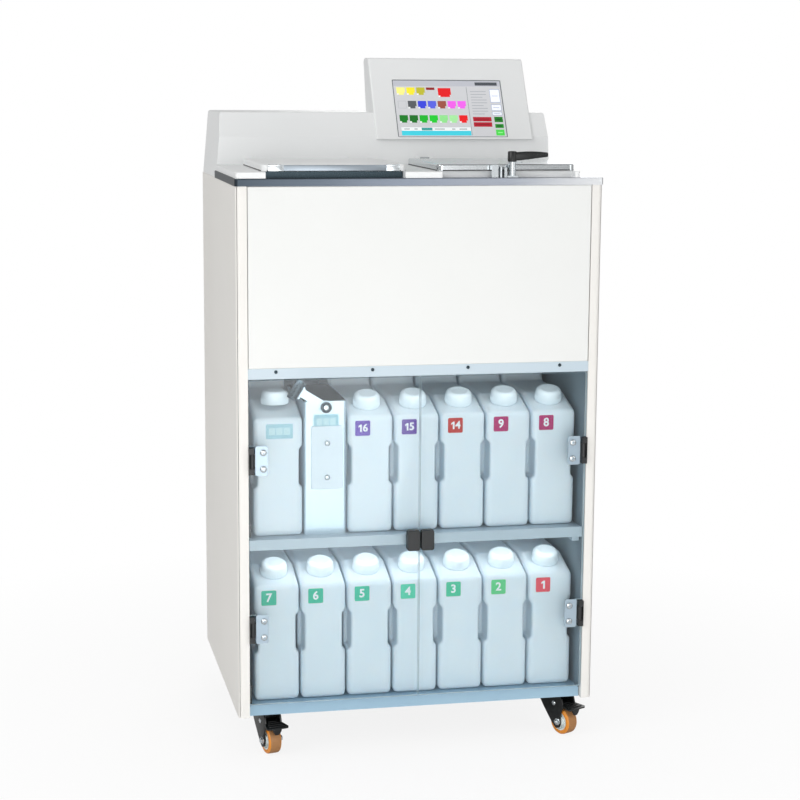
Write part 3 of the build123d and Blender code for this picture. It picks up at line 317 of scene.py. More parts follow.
def joinRings(bm, rings):
    # close the ends of a stack of rings and join each to the next
    bm.faces.new(list(reversed(rings[0])))
    bm.faces.new(rings[-1])
    for low, high in zip(rings, rings[1:]):
        for i in range(len(low)):
            j = (i + 1) % len(low)
            bm.faces.new((low[i], low[j], high[j], high[i]))


def addPrism(bm, outline, start, end, where=Matrix()):
    # outline in the local XY plane, drawn from start to end along the local Z
    joinRings(bm, [[bm.verts.new(where @ (Vector((x, y, z)) * mm)) for x, y in outline] for z in (start, end)])


def insetOutline(points, distance):
    # the outline moved in by a distance, for outlines drawn anticlockwise
    result = []
    count = len(points)
    for i in range(count):
        here = Vector(points[i])
        before = (here - Vector(points[i - 1])).normalized()
        after = (Vector(points[(i + 1) % count]) - here).normalized()
        normal = Vector((-before.y - after.y, before.x + after.x))
        normal.normalize()
        spread = max(0.4, normal.dot(Vector((-after.y, after.x))))
        result.append(tuple(here + normal * distance / spread))
    return result


def areaOf(points):
    return sum(a[0] * b[1] - b[0] * a[1] for a, b in zip(points, points[1:] + points[:1])) / 2


def addSoftPrism(bm, outline, start, end, radius, where=Matrix(), steps=4, soften=(True, True)):
    # a prism whose two end edges are rounded with a radius
    outline = outline if areaOf(outline) > 0 else list(reversed(outline))
    levels = []
    for k in range(steps + 1):
        a = math.pi / 2 * k / steps
        levels.append((radius * (1 - math.sin(a)), radius * (1 - math.cos(a))))
    low = [(start + rise, inset) for inset, rise in levels] if soften[0] else [(start, 0.0)]
    high = [(end - rise, inset) for inset, rise in reversed(levels)] if soften[1] else [(end, 0.0)]
    rings = []
    for z, inset in low + high:
        shape = insetOutline(outline, inset) if inset > 1e-6 else outline
        rings.append([bm.verts.new(where @ (Vector((x, y, z)) * mm)) for x, y in shape])
    joinRings(bm, rings)


def addTurned(bm, profile, where=Matrix(), steps=40):
    # profile of (radius, height) points, turned about the local Z; a radius of 0 closes it
    rings = []
    for radius, height in profile:
        angles = [2 * math.pi * i / steps for i in range(steps if radius else 1)]
        spots = [Vector((radius * math.cos(a), radius * math.sin(a), height)) * mm for a in angles]
        rings.append([bm.verts.new(where @ spot) for spot in spots])
    for low, high in zip(rings, rings[1:]):
        for i in range(steps):
            j = (i + 1) % steps
            corners = [low[i % len(low)], low[j % len(low)], high[j % len(high)], high[i % len(high)]]
            corners = list(dict.fromkeys(corners))  # one corner less at a pole
            if len(corners) > 2:
                bm.faces.new(corners)


def roundCorners(points, radius, steps=4):
    # the same outline with each corner rounded
    result = []
    count = len(points)
    for i in range(count):
        corner = Vector(points[i])
        before = Vector(points[i - 1]) - corner
        after = Vector(points[(i + 1) % count]) - corner
        turn = before.angle(after)
        reach = min(radius / math.tan(turn / 2), before.length * 0.49, after.length * 0.49)
        first, last = corner + before.normalized() * reach, corner + after.normalized() * reach
        for k in range(steps + 1):
            t = k / steps
            result.append(tuple(first * (1 - t) ** 2 + corner * 2 * t * (1 - t) + last * t ** 2))
    return result


def moved(x, y, z):
    return Matrix.Translation(Vector((x, y, z)) * mm)


def turned(axis, angle, spot=(0, 0, 0)):
    # a spot in millimetres and a turn in degrees
    return moved(*spot) @ Matrix.Rotation(math.radians(angle), 4, axis)


# a profile in the YZ plane, drawn along X
alongX = Matrix(((0, 0, 1, 0), (1, 0, 0, 0), (0, 1, 0, 0), (0, 0, 0, 1)))
# a profile in the XZ plane, drawn towards the front
alongY = Matrix(((1, 0, 0, 0), (0, 0, -1, 0), (0, 1, 0, 0), (0, 0, 0, 1)))


def linkObject(name, data):
    made = bpy.data.objects.new(name, data)
    scene.collection.objects.link(made)
    return made


def shadeSmooth(mesh, angle):
    # smooth, with the edges over the angle kept sharp
    for polygon in mesh.polygons:
        polygon.use_smooth = True
    mesh.set_sharp_from_angle(angle=math.radians(angle))


def makeObject(name, bm, material, angle=35, merge=True):
    if merge:
        bmesh.ops.remove_doubles(bm, verts=bm.verts, dist=1e-6)
    bmesh.ops.recalc_face_normals(bm, faces=bm.faces)
    mesh = bpy.data.meshes.new(name)
    bm.to_mesh(mesh)
    bm.free()
    mesh.materials.append(material)
    shadeSmooth(mesh, angle)
    return linkObject(name, mesh)


def evaluatedMesh(piece):
    bpy.context.view_layer.update()
    return bpy.data.meshes.new_from_object(piece.evaluated_get(bpy.context.evaluated_depsgraph_get()))


def bakeModifiers(piece):
    # the evaluated object as a plain mesh
    mesh = evaluatedMesh(piece)
    piece.modifiers.clear()
    piece.data = mesh


def addModifier(piece, kind, **settings):
    modifier = piece.modifiers.new(kind.lower(), kind)
    for key, value in settings.items():
        setattr(modifier, key, value)
    return modifier


def place(piece, body, slotName, *nodes):
    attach(piece, body)
    if nodes:
        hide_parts(*nodes)
    return piece


def finishPiece(name, bm, material, body, slotName, *nodes, angle=35, merge=True):
    return place(makeObject(name, bm, material, angle, merge), body, slotName, *nodes)


def addMesh(bm, mesh, where):
    start = len(bm.verts)
    bm.from_mesh(mesh)
    moveNew(bm, start, where)


# repeated parts by Geometry Nodes

def scatterTree(name, material):
    # instances of one part on the points of the object, with its width and height named
    tree = bpy.data.node_groups.new(name, "GeometryNodeTree")
    for label, kind in (("Geometry", "Geometry"), ("Part", "Object"), ("Width", "Float"), ("Height", "Float")):
        tree.interface.new_socket(label, in_out="INPUT", socket_type="NodeSocket" + kind)
    tree.interface.new_socket("Geometry", in_out="OUTPUT", socket_type="NodeSocketGeometry")
    source = addNode(tree, "NodeGroupInput")
    points = addNode(tree, "GeometryNodeMeshToPoints", links={"Mesh": source.outputs["Geometry"]})
    part = addNode(tree, "GeometryNodeObjectInfo", links={"Object": source.outputs["Part"]})
    facing = addNode(tree, "GeometryNodeInputNamedAttribute", {"Name": "facing"}, data_type="FLOAT_VECTOR")
    size = addNode(tree, "ShaderNodeCombineXYZ",
                   links={i: source.outputs[label] for i, label in enumerate(("Width", "Width", "Height"))})
    spread = addNode(tree, "GeometryNodeInstanceOnPoints",
                     links={"Points": points.outputs[0], "Instance": part.outputs["Geometry"],
                            "Rotation": facing.outputs["Attribute"], "Scale": size.outputs[0]})
    real = addNode(tree, "GeometryNodeRealizeInstances", links={0: spread.outputs[0]})
    painted = addNode(tree, "GeometryNodeSetMaterial", {"Material": material}, {"Geometry": real.outputs[0]})
    addNode(tree, "NodeGroupOutput", links={0: painted.outputs[0]})
    return tree


def scatter(name, part, places, width, height, material):
    # places are (x, y, z, turns in degrees about X, Y and Z) in millimetres
    mesh = bpy.data.meshes.new(name)
    mesh.from_pydata([Vector(spot[:3]) * mm for spot in places], [], [])
    facing = mesh.attributes.new("facing", "FLOAT_VECTOR", "POINT")
    for i, spot in enumerate(places):
        facing.data[i].vector = [math.radians(a) for a in spot[3:6]]
    piece = linkObject(name, mesh)
    tree = scatterTree(name + "_nodes", material)
    modifier = addModifier(piece, "NODES", node_group=tree)
    keys = {item.name: item.identifier for item in tree.interface.items_tree if item.in_out == "INPUT"}
    modifier[keys["Part"]] = part
    modifier[keys["Width"]] = width
    modifier[keys["Height"]] = height
    bakeModifiers(piece)
    shadeSmooth(piece.data, 35)
    return piece


# cross-head screws: the form has a radius of 1 mm and is scaled to these widths and heights
screw = {"rail": 2.8, "rear": 4.0, "plateWidth": 4.6, "plateHeight": 4.0, "steps": 24}


def screwHead():
    bm = bmesh.new()
    dome = [(0, -0.05), (0.97, -0.05), (1.0, 0.0), (1.0, 0.18), (0.93, 0.33), (0.72, 0.46), (0.4, 0.52),
            (0, 0.53)]
    addTurned(bm, dome, steps=screw["steps"])
    head = makeObject("screw_head_form", bm, steelBright)
    cut = bmesh.new()
    cross = [(0.12, 0.12), (0.55, 0.12), (0.55, -0.12), (0.12, -0.12), (0.12, -0.55), (-0.12, -0.55),
             (-0.12, -0.12), (-0.55, -0.12), (-0.55, 0.12), (-0.12, 0.12), (-0.12, 0.55), (0.12, 0.55)]
    addPrism(cut, cross, 0.16, 0.9)
    cutter = makeObject("screw_cross_form", cut, steelBright)
    addModifier(head, "BOOLEAN", object=cutter, solver="EXACT")
    bakeModifiers(head)
    bpy.data.objects.remove(cutter)
    return head


screwForm = screwHead()


def placeScrews(name, body, spots, width, height, material, *nodes):
    place(scatter(name, screwForm, spots, width, height, material), body, "steel_bright", *nodes)


# bottles and their caps
bottle = {"width": 76.0, "faceY": cabinet["frontY"] + 40.0, "depth": 300.0, "pitch": 78.0, "rowMiddle": 3.0,
          "condensateWidth": 82.0, "shoulder": 196.0, "saddle": 217.0, "height": 250.0, "slopeRun": 71.0,
          "saddleRun": 195.0, "riseRun": 207.0, "round": 9.0, "soft": 7.5, "slack": 0.6, "voxel": 2.5,
          "keep": 0.22, "gripDepth": 6.5, "gripLow": 82.0, "gripHigh": 148.0, "gripLength": 40.0,
          "capBack": 40.0, "capRadius": 23.0, "capHeight": 22.0, "capGap": 0.4,
          "ribs": 54, "ribWidth": 0.9, "ribHeight": 8.6, "ribUp": 5.4, "ribOut": 22.25}


def bottleX(index):
    return bottle["rowMiddle"] + (index - 3) * bottle["pitch"]


def bottleMesh(width):
    # blow-moulded form: side outline drawn across, grips cut, then softened
    front = bottle["faceY"]
    outline = [(0, 0), (0, bottle["shoulder"]), (bottle["slopeRun"], bottle["saddle"]),
               (bottle["saddleRun"], bottle["saddle"]), (bottle["riseRun"], bottle["height"]),
               (bottle["depth"], bottle["height"]), (bottle["depth"], 0)]
    outline = roundCorners([(front + y, z) for y, z in outline], bottle["round"])
    half = width / 2 - bottle["slack"]
    bm = bmesh.new()
    addSoftPrism(bm, outline, -half, half, bottle["soft"], alongX)
    form = makeObject("bottle_form", bm, hdpeNatural)
    cut = bmesh.new()
    for side in (-1, 1):
        left, right = sorted((side * (width / 2 - bottle["gripDepth"]), side * (width / 2 + 20)))
        addBlock(cut, (left, front - 20, bottle["gripLow"]),
                 (right, front + bottle["gripLength"], bottle["gripHigh"]), 4)
    cutter = makeObject("grip_form", cut, hdpeNatural)
    addModifier(form, "BOOLEAN", object=cutter, solver="MANIFOLD")
    addModifier(form, "REMESH", mode="VOXEL", voxel_size=bottle["voxel"] * mm)
    addModifier(form, "SMOOTH", factor=0.5, iterations=4)
    addModifier(form, "DECIMATE", ratio=bottle["keep"])
    bakeModifiers(form)
    mesh = form.data
    bpy.data.objects.remove(cutter)
    bpy.data.objects.remove(form)
    return mesh


def capPlace(x, floorZ, tilt):
    slope = (bottle["saddle"] - bottle["shoulder"]) / bottle["slopeRun"]
    lift = bottle["capRadius"] * abs(math.sin(tilt - math.atan(slope))) + bottle["capGap"]
    spot = (x, bottle["faceY"] + bottle["capBack"], floorZ + bottle["shoulder"] + bottle["capBack"] * slope)
    return turned("X", math.degrees(tilt), spot) @ moved(0, 0, lift)


def addCap(bm, where):
    # skirt, round shoulder and a shallow dish on top
    r, h = bottle["capRadius"] - 0.7, bottle["capHeight"] - 0.3
    outside = [(r - 3, 0), (r - 0.6, 0), (r, 0.8), (r, 9), (r - 0.5, h - 7), (r - 1.6, h - 3.6),
               (r - 3.6, h - 1.3), (r - 6.5, h - 0.2), (r - 8.5, h), (r - 10, h - 0.5), (r - 12, h - 0.9),
               (0, h - 0.9)]
    addTurned(bm, outside, where, 44)
    addTurned(bm, [(r - 3, 0), (r - 3, h - 3), (0, h - 3)], where, 44)


def makeBottles():
    # two rows under sloping caps, and the condensate bottle whose cap stands level
    rows = {"lower": (cabinet["trayZ"], range(7)), "upper": (cabinet["shelfZ"], range(2, 7))}
    form = bottleMesh(bottle["width"])
    caps = bmesh.new()
    slopeAngle = math.atan((bottle["saddle"] - bottle["shoulder"]) / bottle["slopeRun"])
    spots, ribPlaces = [], []
    for row, (floorZ, indices) in rows.items():
        bm = bmesh.new()
        for index in indices:
            addMesh(bm, form, moved(bottleX(index), 0, floorZ))
            spots.append((bottleX(index), floorZ, slopeAngle))
        finishPiece(row + "_bottle_row", bm, hdpeNatural, "cabinet", "bottle_white", row + "_bottles",
                    angle=60, merge=False)
    condensateX = bottleX(0) + (bottle["condensateWidth"] - bottle["width"]) / 2
    bm = bmesh.new()
    addMesh(bm, bottleMesh(bottle["condensateWidth"]), moved(condensateX, 0, cabinet["shelfZ"]))
    finishPiece("condensate_bottle_form", bm, hdpeNatural, "cabinet", "bottle_white", "condensate_bottle",
                angle=60, merge=False)
    spots.append((condensateX, cabinet["shelfZ"], 0.0))
    for spot in spots:
        where = capPlace(*spot)
        addCap(caps, where)
        for i in range(bottle["ribs"]):
            rib = where @ turned("Z", 360 * i / bottle["ribs"]) @ moved(bottle["ribOut"], 0, bottle["ribUp"])
            ribPlaces.append(tuple(rib.translation / mm) + tuple(math.degrees(t) for t in rib.to_euler()))
    finishPiece("bottle_cap_set", caps, capPlastic, "cabinet", "cap_white", "bottle_caps", angle=50)
    bar = bmesh.new()
    addBlock(bar, (-0.5, -0.5, -0.5), (0.5, 0.5, 0.5), 0.22, 1)
    rib = makeObject("cap_rib_form", bar, capPlastic)
    ribs = scatter("cap_ribs", rib, ribPlaces, bottle["ribWidth"], bottle["ribHeight"], capPlastic)
    place(ribs, "cabinet", "cap_white")
    bpy.data.objects.remove(rib)


makeBottles()
print("bottles and caps")


# number labels, square with round corners
label = {"side": 25.0, "corner": 2.6, "left": 13.5, "up": 176.0, "sink": 0.35, "digit": 19.5, "bold": 0.028,
         "spacing": 0.5, "pair": 0.9, "rim": 1.06, "rimColour": "#e6eef3", "ink": "#f4f6f8", "digitThick": 0.05,
         "lower": [("7", "#2dbf9b"), ("6", "#2fc29e"), ("5", "#38c7a3"), ("4", "#4fd4ae"), ("3", "#3fcb9d"),
                   ("2", "#5fd68a"), ("1", "#f05060")],
         "upper": [("16", "#5a1fb0"), ("15", "#5b2a9e"), ("14", "#c8281e"), ("9", "#b8186a"), ("8", "#b8186a")]}
labelFinish = attributeFinish("printed_label", "printColour", 0.35, 0.0)


def startPrint():
    bm = bmesh.new()
    return bm, bm.loops.layers.float_color.new("printColour")


def paintFaces(bm, layer, start, code):
    colour = linearColour(code)
    bm.faces.ensure_lookup_table()
    for face in bm.faces[start:]:
        for loop in face.loops:
            loop[layer] = colour


def addInk(bm, layer, outline, start, end, where, code):
    # a thin prism of one colour
    first = len(bm.faces)
    addPrism(bm, outline, start, end, where)
    paintFaces(bm, layer, first, code)


# the digit one with its flag, height 1
digitOne = [(0.0, -0.36), (0.17, -0.36), (0.17, 0.36), (0.03, 0.36), (-0.16, 0.22), (-0.16, 0.06), (0.0, 0.15)]


def addDigit(bm, layer, digit, height, where, code):
    start = len(bm.faces)
    if digit == "1":
        addPrism(bm, [(x * height, y * height) for x, y in digitOne], 0.0, label["digitThick"], where)
    else:
        curve = bpy.data.curves.new("digit", "FONT")
        curve.body = digit
        curve.align_x = curve.align_y = "CENTER"
        curve.size = height * mm
        curve.offset = label["bold"] * height * mm
        curve.extrude = label["digitThick"] * mm
        curve.resolution_u = 3
        holder = linkObject("digit", curve)
        addMesh(bm, evaluatedMesh(holder), where)
        bpy.data.objects.remove(holder)
    paintFaces(bm, layer, start, code)


def addDigits(bm, layer, text, height, where, code):
    step = height * label["spacing"]
    for i, digit in enumerate(text):
        across = (i - (len(text) - 1) / 2) * step
        addDigit(bm, layer, digit, height, where @ moved(across, 0, 0), code)


def makeLabels():
    bm, layer = startPrint()
    y = bottle["faceY"] + label["sink"]
    half = label["side"] / 2
    square = roundCorners([(-half, -half), (half, -half), (half, half), (-half, half)], label["corner"])
    rim = [(x * label["rim"], z * label["rim"]) for x, z in square]
    for row, floorZ, first in (("lower", cabinet["trayZ"], 0), ("upper", cabinet["shelfZ"], 2)):
        for i, (text, code) in enumerate(label[row]):
            spot = (bottleX(first + i) - label["left"], y, floorZ + label["up"])
            where = turned("X", 90, spot)
            addInk(bm, layer, rim, 0.0, 0.55, where, label["rimColour"])
            addInk(bm, layer, square, 0.0, 0.7, where, code)
            size = label["digit"] * (label["pair"] if len(text) > 1 else 1.0)
            addDigits(bm, layer, text, size, where @ moved(0, 0, 0.75), label["ink"])
    finishPiece("bottle_labels", bm, labelFinish, "cabinet", "cap_white", angle=30, merge=False)


makeLabels()
print("bottle labels")


# touch screen: glass slab, a dark border painted as the shade of the recess round the glass, and a lit page of
# plain tiles
screen = {"width": 195.0, "height": 114.0, "lean": 25 / 41, "thick": 2.9, "shadeBorder": 1.3, "glow": 0.22,
          "tile": 15.0, "pitch": 17.7, "start": 6.2, "rowTops": (99.0, 72.0, 43.6), "split": 131.3,
          "ground": "#c9cacd", "edge": "#8f9598", "shadeBorderColour": "#596064",
          "flat": "#8d2426", "hollow": "#b9bcbf",
          "rows": (("#f3ee8a", "#f2e534", "#b9b532", "#8d2426", "#e0131b"),
                   ("#b9bcbf", "#54585c", "#3743d8", "#5660dd", "#9a4f41", "#ee5fe6", "#ee63ea"),
                   ("#0c7a1e", "#0d6e1c", "#12b325", "#17c92c", "#8fe08c", "#a5e79f", "#ea1018"))}


def screenPlace():
    # corner at the lower left of the glass: local X to the right, Y up the face, Z out of it
    low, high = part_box("touch_screen")
    angle = math.atan(screen["lean"])
    up = Vector((0, math.sin(angle), math.cos(angle)))
    out = Vector((0, -math.cos(angle), math.sin(angle)))
    corner = Vector((low[0], low[1], high[2] - screen["height"] * mm * math.cos(angle)))
    return Matrix.Translation(corner) @ Matrix((Vector((1, 0, 0)), up, out)).transposed().to_4x4()


def pageTiles():
    # every tile as left, low, right, high, colour and rise
    wide, tall, shadeBorder, ground = screen["width"], screen["height"], screen["shadeBorder"], screen["ground"]
    # the first tile is the dark border, painted shade where the glass sits in its recess
    tiles = [(0.2, 0.2, wide - 0.2, tall - 0.2, screen["shadeBorderColour"], 0.06),
             (shadeBorder, shadeBorder, wide - shadeBorder, tall - shadeBorder, ground, 0.1),
             (shadeBorder, tall - 12.4, wide - shadeBorder, tall - shadeBorder, "#b9bbc3", 0.14),
             (148, tall - 10.6, 188, tall - 4.2, "#4a4f55", 0.18),
             (screen["split"], 4, screen["split"] + 0.9, tall - 14, "#8f9296", 0.14)]
    for row, top in zip(screen["rows"], screen["rowTops"]):  # three rows of coloured bottles
        for i, code in enumerate(row):
            wideTile = len(row) == 5 and i == 4
            left = screen["start"] + i * screen["pitch"] + (3.0 if wideTile else 0)
            low, high, right = top - screen["tile"], top, left + screen["tile"]
            if code == screen["flat"]:
                low = high - 5
            if wideTile:
                low, high, right = low - 4, high - 1, right + 8
            tiles.append((left, low, right, high, code, 0.16))
            if code == screen["hollow"]:
                tiles.append((left + 1, low + 1, right - 1, high - 1, ground, 0.2))
            elif low < high - 6:
                tiles += [(left, low, left + 3.4, low + 2.8, "#eef0f0", 0.2),
                          (right - 2.4, low, right, low + 4.4, ground, 0.2)]
    tiles += [(7.2, 12.8, 130.4, 19.4, "#eff3f4", 0.16), (7.2, 3.4, 130.4, 12.6, "#41cfe0", 0.16),
              (43, 13.4, 62, 18.8, "#3f9b96", 0.2)]
    tiles += [(left, 15.2, right, 17.0, "#8d9599", 0.2)
              for left, right in ((12, 22), (30, 36), (66, 84), (97, 103), (110, 124))]
    tiles += [(138, 90.5 - i * 5.6, 166 - 7 * (i % 3 == 2), 91.7 - i * 5.6, "#a3a6ad", 0.16)
              for i in range(9)]
    for low, high in ((70.0, 95.0), (53.8, 64.4), (44.5, 49.8)):  # pale fields
        middle = (low + high) / 2
        tiles += [(172.6, low - 0.8, 190.6, high + 0.8, "#97a3c4", 0.14),
                  (173.4, low, 189.8, high, "#f4f7fb", 0.18),
                  (176, middle - 0.6, 187, middle + 0.6, "#aab3cf", 0.22)]
    for low, high in ((31.4, 40.2), (20.8, 29.8)):  # red fields
        middle = (low + high) / 2
        tiles += [(137, low, 170, high, "#b0162b", 0.16),
                  (141, middle - 0.5, 166, middle + 0.5, "#6d0f1c", 0.2)]
    for low, high, code, line in ((30.0, 40.6, "#12761b", "#0e4f16"), (18.4, 26.2, "#1c8a25", "#0e4f16"),
                                  (3.4, 15.2, "#4cd64f", "#8af08a")):  # green fields
        middle = (low + high) / 2
        tiles += [(175.2, low, 190.4, high, code, 0.16), (178.5, middle - 1.2, 187, middle + 1.2, line, 0.2)]
    return tiles


def makeScreen():
    bm, layer = startPrint()
    where = screenPlace()
    slab = [(0, 0), (screen["width"], 0), (screen["width"], screen["height"]), (0, screen["height"])]
    addInk(bm, layer, slab, -screen["thick"], 0.0, where, screen["edge"])
    for left, low, right, high, code, rise in pageTiles():
        addInk(bm, layer, [(left, low), (right, low), (right, high), (left, high)], 0.0, rise, where, code)
    finishPiece("screen_page", bm, screenFinish, "cabinet", "screen_glass", "touch_screen", angle=30,
                merge=False)


screenFinish = attributeFinish("lit_touch_screen", "printColour", 0.12, screen["glow"])
makeScreen()
print("touch screen")


# screws, pivot and plain labels of the filter and of the condensate bottle
filterFit = {"x": -150.0, "front": -198.5, "plateScrews": (461.0, 518.0), "plateX": -147.0, "pivotZ": 578.0,
             "labelX": (-169.0, -128.0), "labelZ": (541.0, 565.0), "bottleLabelX": (-248.0, -204.0),
             "bottleLabelZ": (528.0, 552.0), "teal": "#9fd0dc", "glyph": "#c4e4ea",
             "screwOut": 4.3, "pivotOut": 9.2, "blocks": 3, "margin": 4.0, "inset": 6.0, "gap": 0.7}


def addPlainLabel(bm, layer, x, z, y):
    # a faded label with blank blocks
    where = turned("X", 90, (0, y, 0))
    outline = roundCorners([(x[0], z[0]), (x[1], z[0]), (x[1], z[1]), (x[0], z[1])], 2.0)
    addInk(bm, layer, outline, 0.0, 0.35, where, filterFit["teal"])
    margin, inset, gap = filterFit["margin"], filterFit["inset"], filterFit["gap"]
    step = (x[1] - x[0] - 2 * margin) / filterFit["blocks"]
    for i in range(filterFit["blocks"]):
        left = x[0] + margin + i * step + gap
        right = left + step - 2 * gap
        low, high = z[0] + inset, z[1] - inset
        outline = roundCorners([(left, low), (right, low), (right, high), (left, high)], 1.4)
        addInk(bm, layer, outline, 0.0, 0.45, where, filterFit["glyph"])


def makeFilterFittings():
    y = filterFit["front"]
    heads = [(filterFit["plateX"], y - filterFit["screwOut"], z, 90, 30, 0) for z in filterFit["plateScrews"]]
    placeScrews("filter_plate_screws", "cabinet", heads, screw["plateWidth"], screw["plateHeight"], steelBright)
    bm = bmesh.new()
    pivot = turned("X", 90, (filterFit["x"], y - filterFit["pivotOut"], filterFit["pivotZ"]))
    addTurned(bm, [(4.0, 0.2), (8.6, 0.2), (9.2, 0.7), (9.2, 2.2), (8.4, 3.0), (6.8, 3.2), (5.6, 2.4),
                   (4.0, 2.4)], pivot)
    finishPiece("filter_pivot_ring", bm, gunmetalAndShade, "cabinet", "steel_bright", angle=30, merge=False)
    bm = bmesh.new()
    addTurned(bm, [(0, 0.2), (4.9, 0.2), (4.9, 2.9), (4.3, 3.7), (2.8, 3.9), (2.4, 2.8), (0, 2.8)], pivot, 6)
    finishPiece("filter_pivot_bolt", bm, steelBright, "cabinet", "steel_bright", angle=30, merge=False)
    bm, layer = startPrint()
    addPlainLabel(bm, layer, filterFit["labelX"], filterFit["labelZ"], y)
    addPlainLabel(bm, layer, filterFit["bottleLabelX"], filterFit["bottleLabelZ"], bottle["faceY"] - 0.05)
    finishPiece("plain_labels", bm, labelFinish, "cabinet", "cap_white", angle=30, merge=False)


makeFilterFittings()
print("filter fittings")


# hinge screws on the doors, and the bumpers that the left door closes on
hingeFit = {"screwX": 258.0, "front": -243.4, "levels": (221.0, 500.0), "rise": 13.5, "width": 5.3,
            "height": 5.0}
bumper = {"x": (-281.6, -277.2), "y": (-234.2, -229.8), "z": ((93.5, 125.0), (372.0, 395.0))}


def makeDoorFittings():
    for side, sign in (("left", -1), ("right", 1)):
        heads = [(sign * hingeFit["screwX"], hingeFit["front"], level + end * hingeFit["rise"], 90, 20 * end, 0)
                 for level in hingeFit["levels"] for end in (-1, 1)]
        placeScrews(side + "_hinge_screws", side + "_door", heads, hingeFit["width"], hingeFit["height"],
                    steelBright)
    bm = bmesh.new()
    for low, high in bumper["z"]:
        addBlock(bm, (bumper["x"][0], bumper["y"][0], low), (bumper["x"][1], bumper["y"][1], high), 0.8)
    finishPiece("door_bumpers", bm, nylonBlackAndShade, "cabinet", "black_plastic")


makeDoorFittings()
print("door fittings")


# steel trim of the paraffin lid
lidTrim = {"front": -224.5, "low": 961.0, "high": 970.2, "left": -229.0, "right": -48.0,
           "corners": ((-246.0, -221.0), (-56.0, -34.0))}


def makeLidTrim():
    y, low, high = lidTrim["front"], lidTrim["low"], lidTrim["high"]
    bm = bmesh.new()
    addBlock(bm, (lidTrim["left"], y - 0.9, low), (lidTrim["right"], y + 0.6, high), 0.35)
    finishPiece("paraffin_lid_band", bm, steelBrushed, "paraffin_cover", "lid_steel")
    bm = bmesh.new()
    for left, right in lidTrim["corners"]:
        addBlock(bm, (left, y - 1.5, low - 0.4), (right, y + 0.6, high - 1.2), 0.5)
        addBlock(bm, (left, y - 1.5, high - 1.9), (right, y + 7, high + 0.9), 0.5)
    finishPiece("paraffin_lid_corners", bm, steelBright, "paraffin_cover", "lid_steel")


# dark strip under the edge of each lid: painted shade of the gap beneath the lid
lidShadeStrip = {"lids": (("paraffin", -256.0, -24.0), ("retort", 28.0, 257.0)), "front": -224.5, "sideFront": -217.5,
           "sideRear": -2.5, "low": 960.35, "high": 961.9, "proud": 0.35, "width": 2.4, "corner": 8.0}


def makeLidShadeStrips():
    for name, left, right in lidShadeStrip["lids"]:
        bm = bmesh.new()
        out, wide, corner, front = lidShadeStrip["proud"], lidShadeStrip["width"], lidShadeStrip["corner"], lidShadeStrip["front"]
        for x0, x1, y0, y1 in ((left - out, left + wide, lidShadeStrip["sideFront"], lidShadeStrip["sideRear"]),
                               (right - wide, right + out, lidShadeStrip["sideFront"], lidShadeStrip["sideRear"]),
                               (left + corner, right - corner, front - out, front + wide)):
            addBlock(bm, (x0, y0, lidShadeStrip["low"]), (x1, y1, lidShadeStrip["high"]), 0.3, 1)
        finishPiece(name + "_lid_seal", bm, nylonBlackAndShade, name + "_cover", "black_plastic")


makeLidTrim()
makeLidShadeStrips()
print("lid trim")


# clamp lever: hub and an arched grip, whose outline is measured down from the top
lever = {"x": 149.0, "y": -233.5, "low": 975.0, "high": 992.0, "hub": 7.4, "width": 10.8,
         "grip": [(0, 2.6), (10, 1.3), (22, 0.5), (34, 0.4), (46, 0.9), (59, 2.2), (59, 9.2), (48, 10.6),
                  (36, 12.0), (24, 13.4), (12, 14.8), (0, 15.4)]}


def makeLever():
    bm = bmesh.new()
    r, h, half = lever["hub"], lever["high"] - lever["low"], lever["width"] / 2
    hub = moved(lever["x"], lever["y"], lever["low"])
    addTurned(bm, [(0, 0.1), (r - 1, 0.1), (r, 0.9), (r, h - 1.6), (r - 0.5, h - 0.7), (r - 1.6, h - 0.1),
                   (r - 3.2, h - 0.1), (r - 3.5, h - 0.7), (0, h - 0.7)], hub)
    grip = [(x, h - down) for x, down in lever["grip"]]
    addSoftPrism(bm, roundCorners(grip, 2.6, 3), -half, half, 2.4, hub @ alongY)
    finishPiece("clamp_lever_grip", bm, enamelBlack, "clamp", "black_metal", "clamp_lever", angle=40,
                merge=False)


makeLever()
print("clamp lever")


# casters: places with their turn in degrees, the wheel, and the brake's pivot as back and up
caster = {"places": {"front_left": (-250.0, -182.5, 13.0), "front_right": (250.0, -182.5, 26.0),
                     "rear_left": (-250.0, 167.5, 158.0), "rear_right": (250.0, 167.5, 195.0)},
          "trail": 30.0, "radius": 23.0, "width": 22.0, "hub": 16.0, "legOutside": 15.0, "pivot": (20.0, 54.0),
          "spokes": 5}


# side plate of a fork as Y and Z, with the kingpin at Y 0, then the bridge and the top as blocks
forkPlate = {"outline": [(17, 67), (-38, 67), (-43, 52), (-36, 35), (-36, 14), (-26, 10), (-14, 20), (6, 42),
                         (17, 56)],
             "inside": 12.2, "outside": 15.0, "round": 6.0, "race": 24.0, "raceZ": 64.8,
             "blocks": (((-12.6, -17.0, 47.5), (12.6, -14.0, 66.0)),
                        ((-14.6, -24.0, 64.6), (14.6, 16.0, 67.6)))}


